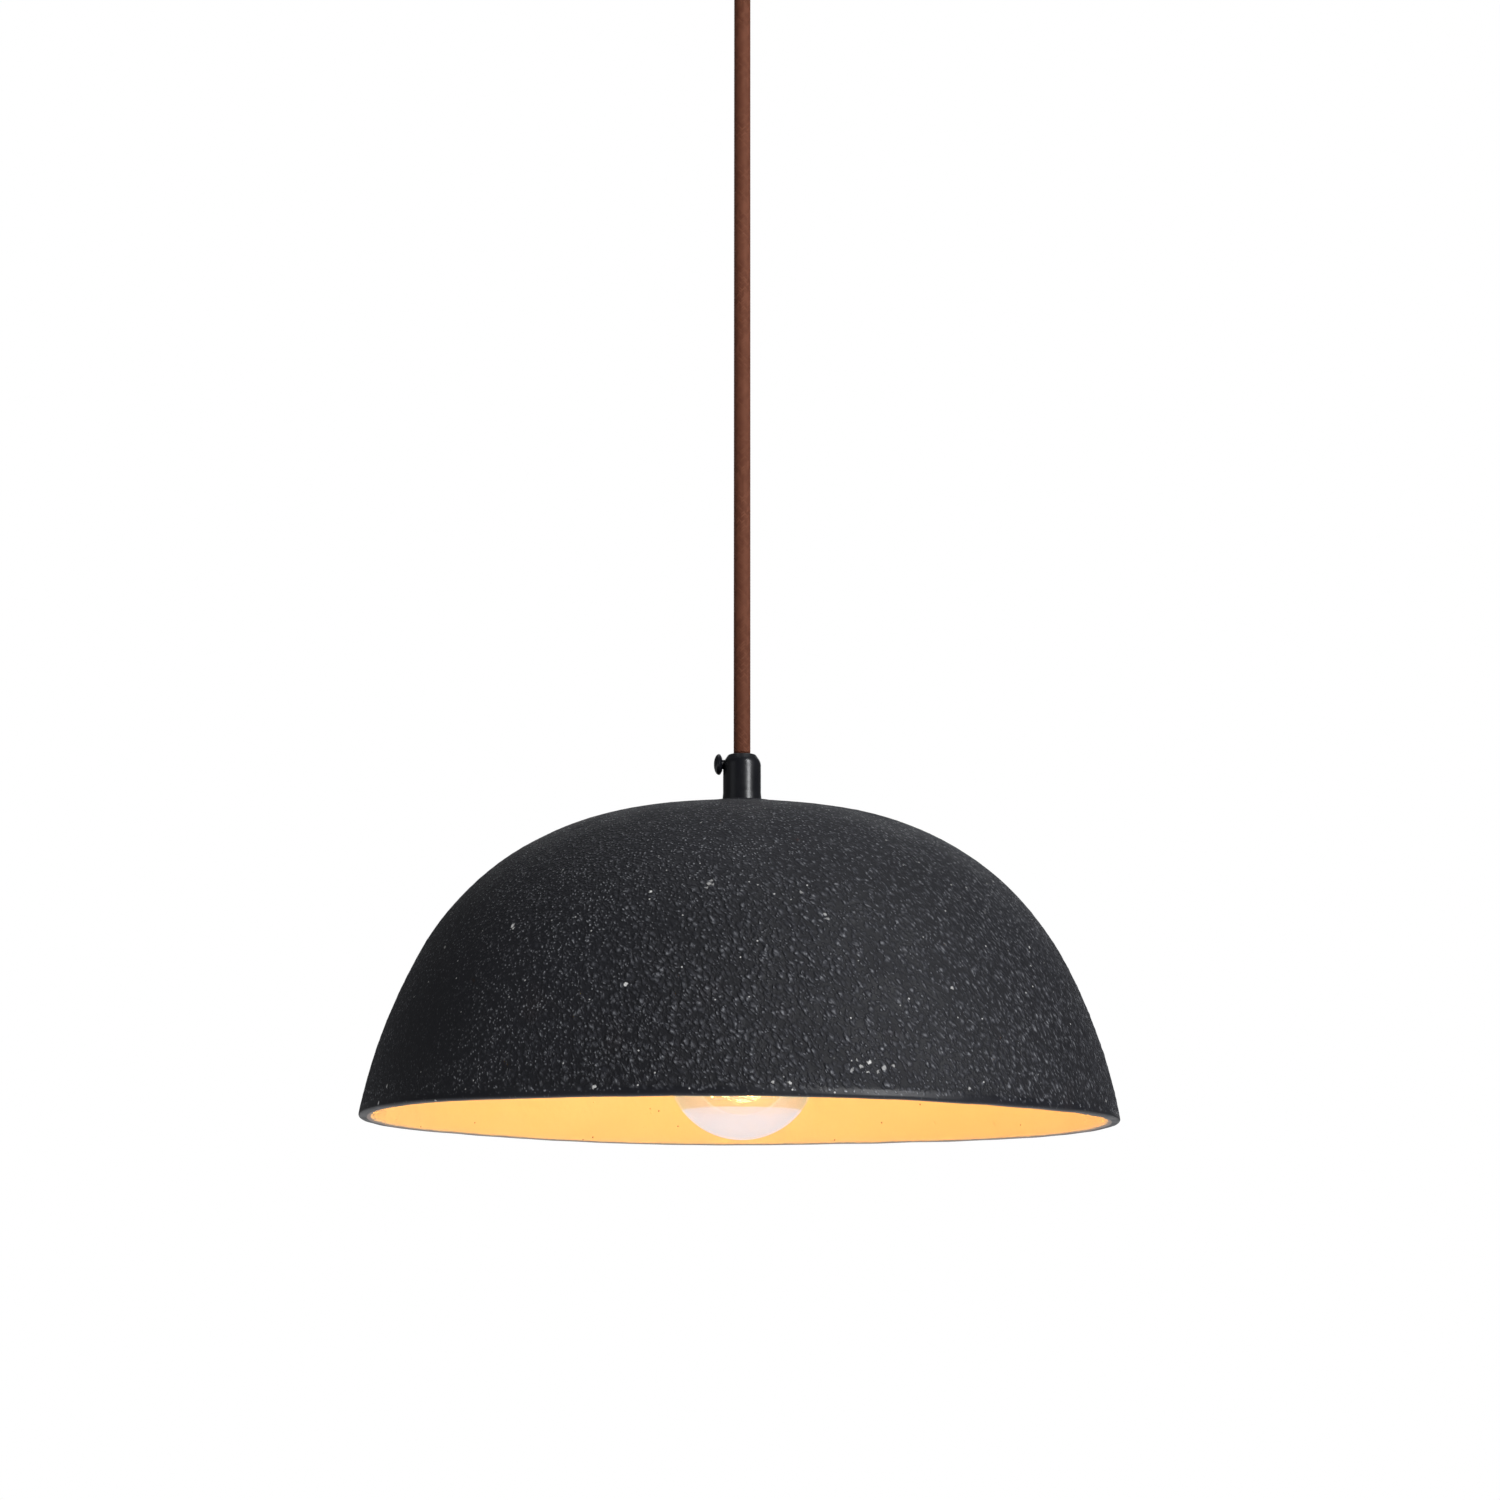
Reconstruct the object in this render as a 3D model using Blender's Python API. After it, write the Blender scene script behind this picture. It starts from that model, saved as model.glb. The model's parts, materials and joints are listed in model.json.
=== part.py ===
"""Pendant ceiling light: a cast dome shade hanging on a braided cord from a round ceiling canopy.

Units are metres and +Z is up. The origin is the middle of the ceiling bracket's top face, so everything
hangs below z = 0. The lamp's own pieces are drawn with z = 0 on the shade's rim and are parented to an
empty at that height. Each moving piece has its origin, or its parent empty, on its joint's axis.
"""

import math

import bmesh
import bpy
from mathutils import Matrix, Vector

GAP = 0.0003  # between pieces that touch
TURN = 2 * math.pi

# Heights below the ceiling
DROP = 0.518  # ceiling to the shade's rim
SWING_X_Z = -0.054  # the cord leans about X here, just below the gland
SWING_Y_Z = -0.080  # and about Y here
SWING_REACH = math.radians(27)  # the cord ends are tapered by a little more than they lean

# Cord: three insulated cores in a braided sleeve
CORD_RADIUS = 0.0034
CORE_RADIUS = 0.0011
CORE_SPREAD = 0.00145  # the cores' distance from the cord's axis
CORD_BORE = 0.00375

# Ceiling bracket and canopy
BRACKET_HALF = 0.0465
BRACKET_WIDTH = 0.020
BRACKET_SHEET = 0.0015
TAB_BOTTOM = -0.012
CEILING_SLOT_X, SLOT_HALF, SLOT_RADIUS = 0.036, 0.0028, 0.0027
MAINS_HOLE_X, MAINS_HOLE = -0.022, 0.006
CANOPY_RADIUS = 0.050
CANOPY_TOP = -0.001
CANOPY_BOTTOM = -0.028
CANOPY_SHEET = 0.001
SIDE_SCREW_Z = -0.0075
BLOCK_LOW, BLOCK_HIGH = Vector((0.010, -0.011, -0.0148)), Vector((0.028, 0.011, -0.0018))
BLOCK_MIDDLE = (BLOCK_LOW.x + BLOCK_HIGH.x) / 2
SLEEVE_Z = -0.0085
POLE_Y = 0.005
EARTH_X = -0.0105
LUG_SHEET = 0.0008
LUG_RIM = 0.0015
LUG_TONGUE = 0.0032

# Metric threads, drawn as plain cylinders
M10_RADIUS, M10_HOLE = 0.005, 0.0053
M4_RADIUS, M4_HOLE = 0.0020, 0.0023
M3_RADIUS, M3_HOLE = 0.0015, 0.0018
NUT_HALF = 0.007
GRIP_RADIUS = 0.0076
GLAND_MOUTH = -0.046
GLAND_SCREW_Z = -0.036

# Shade: three tangent arcs from the top to the rim, as (radius, slope at the arc's lower end)
SHADE_HEIGHT = 0.125
SHADE_ARCS = ((0.318, 8.3), (0.1102, 62.0), (0.2192, 79.85))
SHADE_WALL = 0.0055
BOSS_RADIUS = 0.0146
BOSS_HEIGHT = 0.002
LIP_ROUNDING = 0.0014
SEAT_Z = 0.1193  # the flat inside the shade's top, where the washers press

# Cord grip on the shade, from the rim plane up
GRIP_LOW = SHADE_HEIGHT + BOSS_HEIGHT + GAP
GRIP_TOP = 0.1472
CLAMP_Z = 0.1430
TWIST_Z = 0.1475

# Lampholder, E27 thread
PITCH = 0.0254 / 7
THREAD_DEPTH = 0.00045  # half the height of the rounded thread
THREAD_FADE = 0.0010
CAP_THREAD_RADIUS = 0.01275
SHELL_THREAD_RADIUS = 0.0134
NIPPLE_LOW, NIPPLE_HIGH = 0.1072, 0.1355
CAP_CEILING = 0.1069
CORE_DISC = (0.0993, 0.1013)
LOW_CORE_Z = 0.1034
LOW_EARTH_Y = -0.0095
HOLDER_MOUTH = 0.0720
SHELL_WALL_RADIUS = 0.0147

# Bulb, a 60 mm globe
GLOBE_RADIUS = 0.030
GLOBE_CENTRE = 0.0232
GLASS_WALL = 0.0008
NECK_RADIUS = 0.0139
NECK_TURN = math.radians(36)  # where the globe gives way to the neck's hollow curve
FILAMENTS = 4
FILAMENT_RADIUS = 0.0010
FILAMENT_TURN = 0.45  # turns the filaments about the bulb's axis, in radians
TOP_FRAME, LOW_FRAME = (0.0075, 0.0462), (0.0125, 0.0093)  # radius and height of the filaments' ends
WIRE_SHEET = 0.0006


def clear_scene():
    for obj in list(bpy.data.objects):
        bpy.data.objects.remove(obj)


def material(name, colour, roughness, metallic=0.0):
    made = bpy.data.materials.new(name)
    made.use_nodes = True
    shader = made.node_tree.nodes["Principled BSDF"]
    shader.inputs["Base Color"].default_value = (*colour, 1.0)
    shader.inputs["Roughness"].default_value = roughness
    shader.inputs["Metallic"].default_value = metallic
    return made


def empty(name, place, parent=None):
    made = bpy.data.objects.new(name, None)
    bpy.context.scene.collection.objects.link(made)
    made.location = place
    made.parent = parent
    return made


def add(name, bm, finish, parent, place=(0, 0, 0), turn=None):
    """The bmesh as an object under parent, with its faces pointing out."""
    bmesh.ops.recalc_face_normals(bm, faces=bm.faces)
    mesh = bpy.data.meshes.new(name)
    bm.to_mesh(mesh)
    bm.free()
    mesh.shade_smooth()
    mesh.set_sharp_from_angle(angle=math.radians(35))
    mesh.materials.append(finish)
    obj = bpy.data.objects.new(name, mesh)
    bpy.context.scene.collection.objects.link(obj)
    obj.parent = parent
    obj.location = place
    if turn is not None:
        obj.rotation_euler = turn
    return obj


def revolved(profile, sides):
    """A bmesh turned about Z from a closed loop of (radius, z) or (radius, z, warp) points.

    A warp is a function of (angle, radius, z) that gives the radius at that angle, for a thread or a hexagon.
    """
    bm = bmesh.new()
    rings = []
    for radius, z, *warp in profile:
        if radius == 0:
            rings.append([bm.verts.new((0, 0, z))])
            continue
        ring = []
        for step in range(sides):
            angle = TURN * step / sides
            r = warp[0](angle, radius, z) if warp else radius
            ring.append(bm.verts.new((r * math.cos(angle), r * math.sin(angle), z)))
        rings.append(ring)
    for here, there in zip(rings, rings[1:] + rings[:1]):
        for step in range(sides):
            after = (step + 1) % sides
            corners = []
            for vert in (here[step % len(here)], here[after % len(here)],
                         there[after % len(there)], there[step % len(there)]):
                if vert not in corners:
                    corners.append(vert)
            if len(corners) > 2:
                bm.faces.new(corners)
    return bm


def revolve(name, profile, finish, parent, sides=24, place=(0, 0, 0), turn=None):
    return add(name, revolved(profile, sides), finish, parent, place, turn)


def hexagon(angle, radius, z):
    """A hexagon's outline, with radius as half its width across the flats."""
    return radius / math.cos(angle % (TURN / 6) - TURN / 12)


def edison(depth):
    """A right-handed rounded screw thread about the given radius."""
    return lambda angle, radius, z: radius + depth * math.cos(TURN * z / PITCH - angle)


def extruded(outline, axis, low, high):
    """A bmesh of the outline, which lies across axis, extruded from low to high along it."""
    bm = bmesh.new()
    spot = {
        "X": lambda a, b: (low, a, b),
        "Y": lambda a, b: (a, low, b),
        "Z": lambda a, b: (a, b, low),
    }[axis]
    face = bm.faces.new([bm.verts.new(spot(a, b)) for a, b in outline])
    grown = bmesh.ops.extrude_face_region(bm, geom=[face])["geom"]
    step = Vector([high - low if name == axis else 0 for name in "XYZ"])
    bmesh.ops.translate(bm, vec=step, verts=[v for v in grown if isinstance(v, bmesh.types.BMVert)])
    return bm


def extrude(name, outline, axis, low, high, finish, parent):
    return add(name, extruded(outline, axis, low, high), finish, parent)


def box_outline(low_a, high_a, low_b, high_b):
    return [(low_a, low_b), (high_a, low_b), (high_a, high_b), (low_a, high_b)]


def arc(centre, radius, start, end, steps):
    """Points along an arc, with its angles in degrees from +X."""
    angles = [math.radians(start + (end - start) * k / steps) for k in range(steps + 1)]
    return [(centre[0] + radius * math.cos(a), centre[1] + radius * math.sin(a)) for a in angles]


def cut(obj, bm, operation="DIFFERENCE"):
    """Cuts the bmesh, drawn in the object's own space, out of it, or joins it on."""
    bmesh.ops.recalc_face_normals(bm, faces=bm.faces)
    mesh = bpy.data.meshes.new(obj.name + "_cutter")
    bm.to_mesh(mesh)
    bm.free()
    cutter = bpy.data.objects.new(mesh.name, mesh)
    bpy.context.scene.collection.objects.link(cutter)
    cutter.parent = obj
    cutter.hide_render = True
    cutter.display_type = "WIRE"
    boolean = obj.modifiers.new(operation.lower(), "BOOLEAN")
    boolean.operation = operation
    boolean.object = cutter


def rod(radius, start, end, sides=12):
    """A bmesh cylinder from start to end."""
    start, end = Vector(start), Vector(end)
    bm = bmesh.new()
    bmesh.ops.create_cone(bm, cap_ends=True, segments=sides, radius1=radius, radius2=radius,
                          depth=(end - start).length)
    facing = (end - start).to_track_quat("Z", "Y").to_matrix().to_4x4()
    bmesh.ops.transform(bm, matrix=Matrix.Translation((start + end) / 2) @ facing, verts=bm.verts)
    return bm


def tube(name, points, radius, finish, parent, taper_start=False):
    """A round tube along points, each (x, y, z), as a bevelled curve. taper_start gives it a blunt cone."""
    curve = bpy.data.curves.new(name, "CURVE")
    curve.dimensions = "3D"
    curve.bevel_depth = radius
    curve.bevel_resolution = 3 if radius > 0.002 else 2
    curve.use_fill_caps = True
    spline = curve.splines.new("POLY")
    spline.points.add(len(points) - 1)
    for point, place in zip(spline.points, points):
        point.co = (*place, 1)
    if taper_start:
        spline.points[0].radius = 0.1
    curve.materials.append(finish)
    obj = bpy.data.objects.new(name, curve)
    bpy.context.scene.collection.objects.link(obj)
    obj.parent = parent
    return obj


def smooth_route(stops, spacing):
    """Points about spacing apart on one smooth curve through the stops."""
    ends = [stops[0]] + list(stops) + [stops[-1]]
    route = []
    for k in range(len(stops) - 1):
        before, start, end, after = (Vector(p) for p in ends[k:k + 4])
        steps = max(2, round((end - start).length / spacing))
        for n in range(steps):
            t = n / steps
            route.append(0.5 * ((2 * start) + (end - before) * t
                                + (2 * before - 5 * start + 4 * end - after) * t ** 2
                                + (3 * start - before - 3 * end + after) * t ** 3))
    route.append(Vector(stops[-1]))
    return [tuple(p) for p in route]


def straight(top, bottom, pieces):
    return [(0, 0, top + (bottom - top) * k / pieces) for k in range(pieces + 1)]


def cord(name, top, bottom, finish, parent, swings):
    """A straight stretch of the cord. One that swings has a cone at its top, to clear the end above."""
    pieces = max(2, round((top - bottom) / (5 * CORD_RADIUS)))
    points = straight(top, bottom, pieces)
    if swings:
        cone = CORD_RADIUS * math.tan(SWING_REACH)
        points = [points[0], (0, 0, top - cone)] + points[1:]
    return tube(name, points, CORD_RADIUS, finish, parent, taper_start=swings)


def machine_screw(name, finish, parent, place, turn, head, shank, slot=0.0008, dome=False):
    """A slotted screw that points along its own -Z, with the underside of its head at its origin.

    head is (radius, height) and shank is (radius, length). A screw with no head has a head height of 0.
    """
    head_radius, head_height = head
    shank_radius, length = shank
    if head_height == 0:
        profile = [(0, 0), (shank_radius, 0), (shank_radius, -length), (0, -length)]
        top, reach = 0, shank_radius
    else:
        edge = head_height * (0.25 if dome else 0.55)
        crown = [(head_radius * math.cos(math.radians(a)),
                  edge + (head_height - edge) * math.sin(math.radians(a))) for a in (0, 28, 52, 74)]
        profile = [(0, head_height), *reversed(crown), (head_radius, 0.0),
                   (shank_radius, 0.0), (shank_radius, -length), (0, -length)]
        top, reach = head_height, head_radius
    obj = revolve(name, profile, finish, parent, sides=12, place=place, turn=turn)
    depth = 0.0007 if head_height == 0 else 0.35 * head_height
    half = slot / 2
    cut(obj, extruded(box_outline(-2 * reach, 2 * reach, -half, half), "Z", top - depth, top + 0.001))
    return obj


def ring_lug(name, finish, parent, centre, tongue, hole, low):
    """A flat ring with a tongue, which the earth core's end is soldered under.

    tongue is its angle and its reach from the hole's middle.
    """
    angle, reach = tongue
    ring, half = hole + LUG_RIM, LUG_TONGUE / 2
    open_by = math.degrees(math.asin(half / ring))
    outline = arc((0, 0), ring, open_by, 360 - open_by, 14) + [(reach, -half), (reach, half)]
    facing = Matrix.Rotation(angle, 2)
    outline = [tuple(facing @ Vector(p) + Vector(centre)) for p in outline]
    obj = extrude(name, outline, "Z", low, low + LUG_SHEET, finish, parent)
    x, y = centre
    cut(obj, rod(hole, (x, y, low - LUG_SHEET), (x, y, low + 2 * LUG_SHEET)))


def washer(name, finish, parent, hole, radius, low, high):
    profile = [(hole, low), (radius, low), (radius, high), (hole, high)]
    return revolve(name, profile, finish, parent, sides=18)


def hex_nut(name, finish, parent, hole, half_width, low, high):
    profile = [(hole, low), (half_width, low, hexagon), (half_width, high, hexagon), (hole, high)]
    return revolve(name, profile, finish, parent)


def shade_outline(offset):
    """(radius, z) down the shade's curve, offset into the wall, from the top to the rim's end."""
    radius = height = 0.0
    slope = 0.0
    points = []
    for bend, end in SHADE_ARCS:
        end = math.radians(end)
        steps = max(2, round(math.degrees(end - slope) / 7))
        for k in range(0 if not points else 1, steps + 1):
            a = slope + (end - slope) * k / steps
            r = radius + bend * (math.sin(a) - math.sin(slope)) - offset * math.sin(a)
            z = height - bend * (math.cos(slope) - math.cos(a)) - offset * math.cos(a)
            points.append((r, z + SHADE_HEIGHT))
        radius += bend * (math.sin(end) - math.sin(slope))
        height -= bend * (math.cos(slope) - math.cos(end))
        slope = end
    return points


def globe_outline(offset):
    """(radius, z) up the bulb's outline, offset into the glass, from its lowest point to the neck's end."""
    radius = GLOBE_RADIUS - offset
    points = [(radius * math.cos(a), GLOBE_CENTRE + radius * math.sin(a))
              for a in [math.radians(-90 + k * 14) for k in range(1, 9)]]
    corner = (GLOBE_RADIUS * math.cos(NECK_TURN), GLOBE_CENTRE + GLOBE_RADIUS * math.sin(NECK_TURN))
    bend = (corner[0] - NECK_RADIUS) / (1 - math.cos(NECK_TURN))
    centre = (corner[0] + bend * math.cos(NECK_TURN), corner[1] + bend * math.sin(NECK_TURN))
    for k in range(7):
        a = NECK_TURN * (1 - k / 6)
        points.append((centre[0] - (bend + offset) * math.cos(a), centre[1] - (bend + offset) * math.sin(a)))
    return points


def make_bracket(steel, top):
    half, sheet, wide = BRACKET_HALF, BRACKET_SHEET, BRACKET_WIDTH / 2
    outline = [(-half, TAB_BOTTOM), (-half, 0), (half, 0), (half, TAB_BOTTOM),
               (half - sheet, TAB_BOTTOM), (half - sheet, -sheet), (sheet - half, -sheet),
               (sheet - half, TAB_BOTTOM)]
    bracket = extrude("ceiling_bracket", outline, "Y", -wide, wide, steel, top)
    for side in (-1, 1):
        centre = side * CEILING_SLOT_X
        outline = (arc((centre + SLOT_HALF, 0), SLOT_RADIUS, -90, 90, 6)
                   + arc((centre - SLOT_HALF, 0), SLOT_RADIUS, 90, 270, 6))
        cut(bracket, extruded(outline, "Z", -2 * sheet, sheet))
        cut(bracket, rod(M4_HOLE, (side * 0.9 * half, 0, SIDE_SCREW_Z), (side * 1.1 * half, 0, SIDE_SCREW_Z)))
    for x, hole in ((MAINS_HOLE_X, MAINS_HOLE), (EARTH_X, M4_HOLE), (BLOCK_MIDDLE, M3_HOLE)):
        cut(bracket, rod(hole, (x, 0, -2 * sheet), (x, 0, sheet), 16))


def make_canopy(paint, top):
    outer, sheet, corner = CANOPY_RADIUS, CANOPY_SHEET, 0.004
    inner = outer - sheet
    profile = [(M10_HOLE, CANOPY_BOTTOM + sheet), (M10_HOLE, CANOPY_BOTTOM)]
    profile += arc((outer - corner, CANOPY_BOTTOM + corner), corner, -90, 0, 4)
    profile += [(outer, CANOPY_TOP), (inner, CANOPY_TOP)]
    profile += arc((outer - corner, CANOPY_BOTTOM + corner), corner - sheet, 0, -90, 3)
    canopy = revolve("canopy", profile, paint, top, sides=36)
    for side in (-1, 1):
        ends = [(side * reach * outer, 0, SIDE_SCREW_Z) for reach in (0.9, 1.1)]
        cut(canopy, rod(M4_HOLE, *ends))


def make_gland(paint, steel, top):
    """The canopy's cord grip: a barrel below the canopy, with a stud that goes up through it into a nut."""
    barrel_top = CANOPY_BOTTOM - GAP
    stud_top = -0.019
    profile = [(CORD_BORE, stud_top), (M10_RADIUS, stud_top), (M10_RADIUS, barrel_top),
               (GRIP_RADIUS, barrel_top)]
    profile += arc((GRIP_RADIUS - 0.0012, GLAND_MOUTH + 0.0012), 0.0012, 0, -90, 3)
    profile += [(0.0053, GLAND_MOUTH), (0.0046, GLAND_MOUTH + 0.0012), (0.0040, GLAND_MOUTH + 0.0030),
                (CORD_BORE, GLAND_MOUTH + 0.0050)]
    gland = revolve("canopy_gland", profile, paint, top, sides=20)
    cut(gland, rod(M4_HOLE, (-0.001, 0, GLAND_SCREW_Z), (-0.010, 0, GLAND_SCREW_Z)))
    machine_screw("gland_screw", steel, top, (-GRIP_RADIUS + 0.0002, 0, GLAND_SCREW_Z), (0, -TURN / 4, 0),
                  (0, 0), (M4_RADIUS, 0.0036))
    floor = CANOPY_BOTTOM + CANOPY_SHEET + GAP
    washer("gland_washer", steel, top, M10_HOLE, 0.0085, floor, floor + 0.0008)
    hex_nut("gland_nut", steel, top, M10_HOLE, NUT_HALF, floor + 0.0011, floor + 0.0041)


def make_terminals(nylon, brass, steel, top):
    """The two-pole terminal block under the bracket, and the earth lug beside it."""
    low, high = BLOCK_LOW, BLOCK_HIGH
    outline = box_outline(low.x, high.x, low.y, high.y)
    block = extrude("terminal_block", outline, "Z", low.z, high.z, nylon, top)
    bore, wall = 0.0015, 0.0008
    screw_x = (low.x + 0.0045, high.x - 0.0045)
    head_z = low.z + 0.0006
    for pole, y in (("live", POLE_Y), ("neutral", -POLE_Y)):
        cut(block, rod(bore + wall + GAP, (low.x - 0.001, y, SLEEVE_Z), (high.x + 0.001, y, SLEEVE_Z), 16))
        ends = (low.x + 0.001, high.x - 0.001)
        profile = [(bore, ends[0]), (bore + wall, ends[0]), (bore + wall, ends[1]), (bore, ends[1])]
        sleeve = revolve("terminal_sleeve_" + pole, profile, brass, top, sides=16,
                         place=(0, y, SLEEVE_Z), turn=(0, TURN / 4, 0))
        for side, x in zip(("cord", "mains"), screw_x):
            cut(block, rod(M3_HOLE, (x, y, SLEEVE_Z), (x, y, low.z - 0.001)))
            cut(sleeve, rod(M3_HOLE, (0, 0, x), (0.004, 0, x)))
            machine_screw("terminal_screw_%s_%s" % (pole, side), steel, top, (x, y, head_z),
                          (TURN / 2, 0, 0), (0, 0), (M3_RADIUS, SLEEVE_Z - CORE_RADIUS - GAP - head_z))
    cut(block, rod(M3_HOLE, (BLOCK_MIDDLE, 0, low.z - 0.001), (BLOCK_MIDDLE, 0, high.z + 0.001)))
    machine_screw("terminal_block_screw", steel, top, (BLOCK_MIDDLE, 0, low.z - GAP), (TURN / 2, 0, 0),
                  (0.0028, 0.0018), (M3_RADIUS, -low.z - 0.0002))
    under = -BRACKET_SHEET - GAP - LUG_SHEET
    ring_lug("earth_lug_top", brass, top, (EARTH_X, 0), (0, 0.0068), M4_HOLE, under)
    machine_screw("earth_screw_top", steel, top, (EARTH_X, 0, under - GAP), (TURN / 2, 0, 0),
                  (0.0036, 0.0022), (M4_RADIUS, GAP - under - 0.0006))


def make_canopy_screws(steel, top):
    """The two screws through the canopy's sides into the bracket's tabs, each turning on its own axis."""
    for name, side in (("left", -1), ("right", 1)):
        machine_screw("canopy_screw_" + name, steel, top, (side * (CANOPY_RADIUS + GAP), 0, SIDE_SCREW_Z),
                      (0, side * TURN / 4, 0), (0.0036, 0.0022), (M4_RADIUS, 0.0085), dome=True)


def make_top_cores(finishes, top):
    """The cores from the stripped end of the cord to the terminals and the earth lug."""
    start_z = -0.0162
    inside = 0.0185
    for name, side in (("live", 1), ("neutral", -1)):
        x, y = CORE_SPREAD * math.cos(TURN / 6), side * CORE_SPREAD * math.sin(TURN / 6)
        stops = [(x, y, start_z), (0.0018, side * 0.0021, -0.0125), (0.0052, side * 0.0043, -0.0091),
                 (0.0088, side * POLE_Y, SLEEVE_Z), (inside, side * POLE_Y, SLEEVE_Z)]
        tube("core_%s_top" % name, smooth_route(stops, 0.0025), CORE_RADIUS, finishes[name], top)
    under = -BRACKET_SHEET - 2 * GAP - LUG_SHEET - CORE_RADIUS
    stops = [(-CORE_SPREAD, 0, start_z), (-0.0015, 0, -0.0105), (-0.0024, 0, -0.0060), (-0.0046, 0, under),
             (-0.0062, 0, under)]
    tube("core_earth_top", smooth_route(stops, 0.0025), CORE_RADIUS, finishes["earth"], top)


def make_cord_grip(paint, lamp):
    """The turned grip on the shade: a rounded shoulder, a slight flare at its foot, a tapped hole below."""
    shoulder = 0.0030
    profile = [(CORD_BORE, GRIP_TOP - 0.0003), (CORD_BORE + 0.0004, GRIP_TOP)]
    reach = GRIP_RADIUS - CORD_BORE - 0.0004
    for degrees in (65, 42, 20, 0):
        a = math.radians(degrees)
        profile.append((CORD_BORE + 0.0004 + reach * math.cos(a), GRIP_TOP - shoulder * (1 - math.sin(a))))
    profile += [(GRIP_RADIUS, GRIP_LOW + 0.004), (0.0080, GRIP_LOW), (M10_HOLE, GRIP_LOW),
                (M10_HOLE, NIPPLE_HIGH + GAP), (CORD_BORE, NIPPLE_HIGH + GAP)]
    grip = revolve("cord_grip", profile, paint, lamp)
    cut(grip, rod(M4_HOLE, (-0.001, 0, CLAMP_Z), (-0.010, 0, CLAMP_Z)))


def make_clamp(paint, nylon, lamp):
    """The grip's thumb screw and the pad that it pushes against the cord."""
    pad_in, pad_out = CORD_RADIUS + GAP, 0.0052
    pad = [(0, pad_in), (0.0016, pad_in), (0.0016, pad_out), (0, pad_out)]
    revolve("clamp_pad", pad, nylon, lamp, sides=12, place=(0, 0, CLAMP_Z), turn=(0, -TURN / 4, 0))
    seat = GRIP_RADIUS + GAP
    machine_screw("clamp_screw", paint, lamp, (-seat, 0, CLAMP_Z), (0, -TURN / 4, 0),
                  (0.0042, 0.0030), (M4_RADIUS, seat - pad_out - GAP), dome=True)


def make_shade(plaster, lamp):
    outer = [p for p in shade_outline(0) if p[0] > BOSS_RADIUS * 1.4]
    inner = [p for p in shade_outline(SHADE_WALL) if p[0] > 0.018]
    top = SHADE_HEIGHT + BOSS_HEIGHT
    rim_outer, rim_inner = outer[-1][0], inner[-1][0]
    profile = [(0.0055, SEAT_Z), (0.0055, top), (0.0092, top), (BOSS_RADIUS, top - 0.0009)]
    profile += outer[:-1]
    profile += [(rim_outer - 0.0003, LIP_ROUNDING), (rim_outer - LIP_ROUNDING, 0),
                (rim_inner + LIP_ROUNDING, 0), (rim_inner, LIP_ROUNDING)]
    profile += list(reversed([p for p in inner[:-1] if p[1] > 2 * LIP_ROUNDING]))
    profile += [(0.0160, SEAT_Z)]
    revolve("shade", profile, plaster, lamp, sides=36)


def make_shade_fixing(steel, rubber, lamp):
    """The threaded nipple that joins the grip, the shade and the holder, and what clamps the shade on it."""
    profile = [(CORD_BORE, NIPPLE_LOW), (M10_RADIUS, NIPPLE_LOW), (M10_RADIUS, NIPPLE_HIGH),
               (CORD_BORE, NIPPLE_HIGH)]
    revolve("threaded_nipple", profile, steel, lamp, sides=20)
    gasket, plate, nut = 0.0015, 0.001, 0.0035
    z = SEAT_Z - GAP
    washer("shade_gasket", rubber, lamp, M10_HOLE, 0.014, z - gasket, z)
    z -= gasket + GAP
    washer("shade_washer", steel, lamp, M10_HOLE, 0.0125, z - plate, z)
    z -= plate + GAP
    hex_nut("shade_nut", steel, lamp, M10_HOLE, NUT_HALF, z - nut, z)


def make_holder_cap(paint, brass, steel, lamp):
    """The lampholder's earthed metal cap, with the earth lug and its screw under its ceiling."""
    outer, inner, foot, top = 0.0196, 0.0172, 0.093, 0.1121
    shoulder, drop = 0.0106, 0.008
    dome = [(outer - shoulder * (1 - math.sin(a)), 0.1015 + drop * math.cos(a))
            for a in [math.radians(18 * k) for k in range(6)]]
    profile = [(M10_HOLE, CAP_CEILING), (M10_HOLE, top), (outer - shoulder, top), *dome, (outer, foot),
               (inner, foot), (inner, 0.1020), (0.0163, 0.1052), (0.0136, CAP_CEILING)]
    cap = revolve("holder_cap", profile, paint, lamp)
    cut(cap, rod(M3_HOLE, (0, LOW_EARTH_Y, CAP_CEILING - 0.001), (0, LOW_EARTH_Y, CAP_CEILING + 0.0013)))
    lug_low = CAP_CEILING - GAP - LUG_SHEET
    ring_lug("earth_lug_low", brass, lamp, (0, LOW_EARTH_Y), (TURN / 4, 0.0047), M3_HOLE, lug_low)
    machine_screw("earth_screw_low", steel, lamp, (0, LOW_EARTH_Y, lug_low - GAP), (TURN / 2, 0, 0),
                  (0.0026, 0.0016), (M3_RADIUS, 0.0023))


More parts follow.
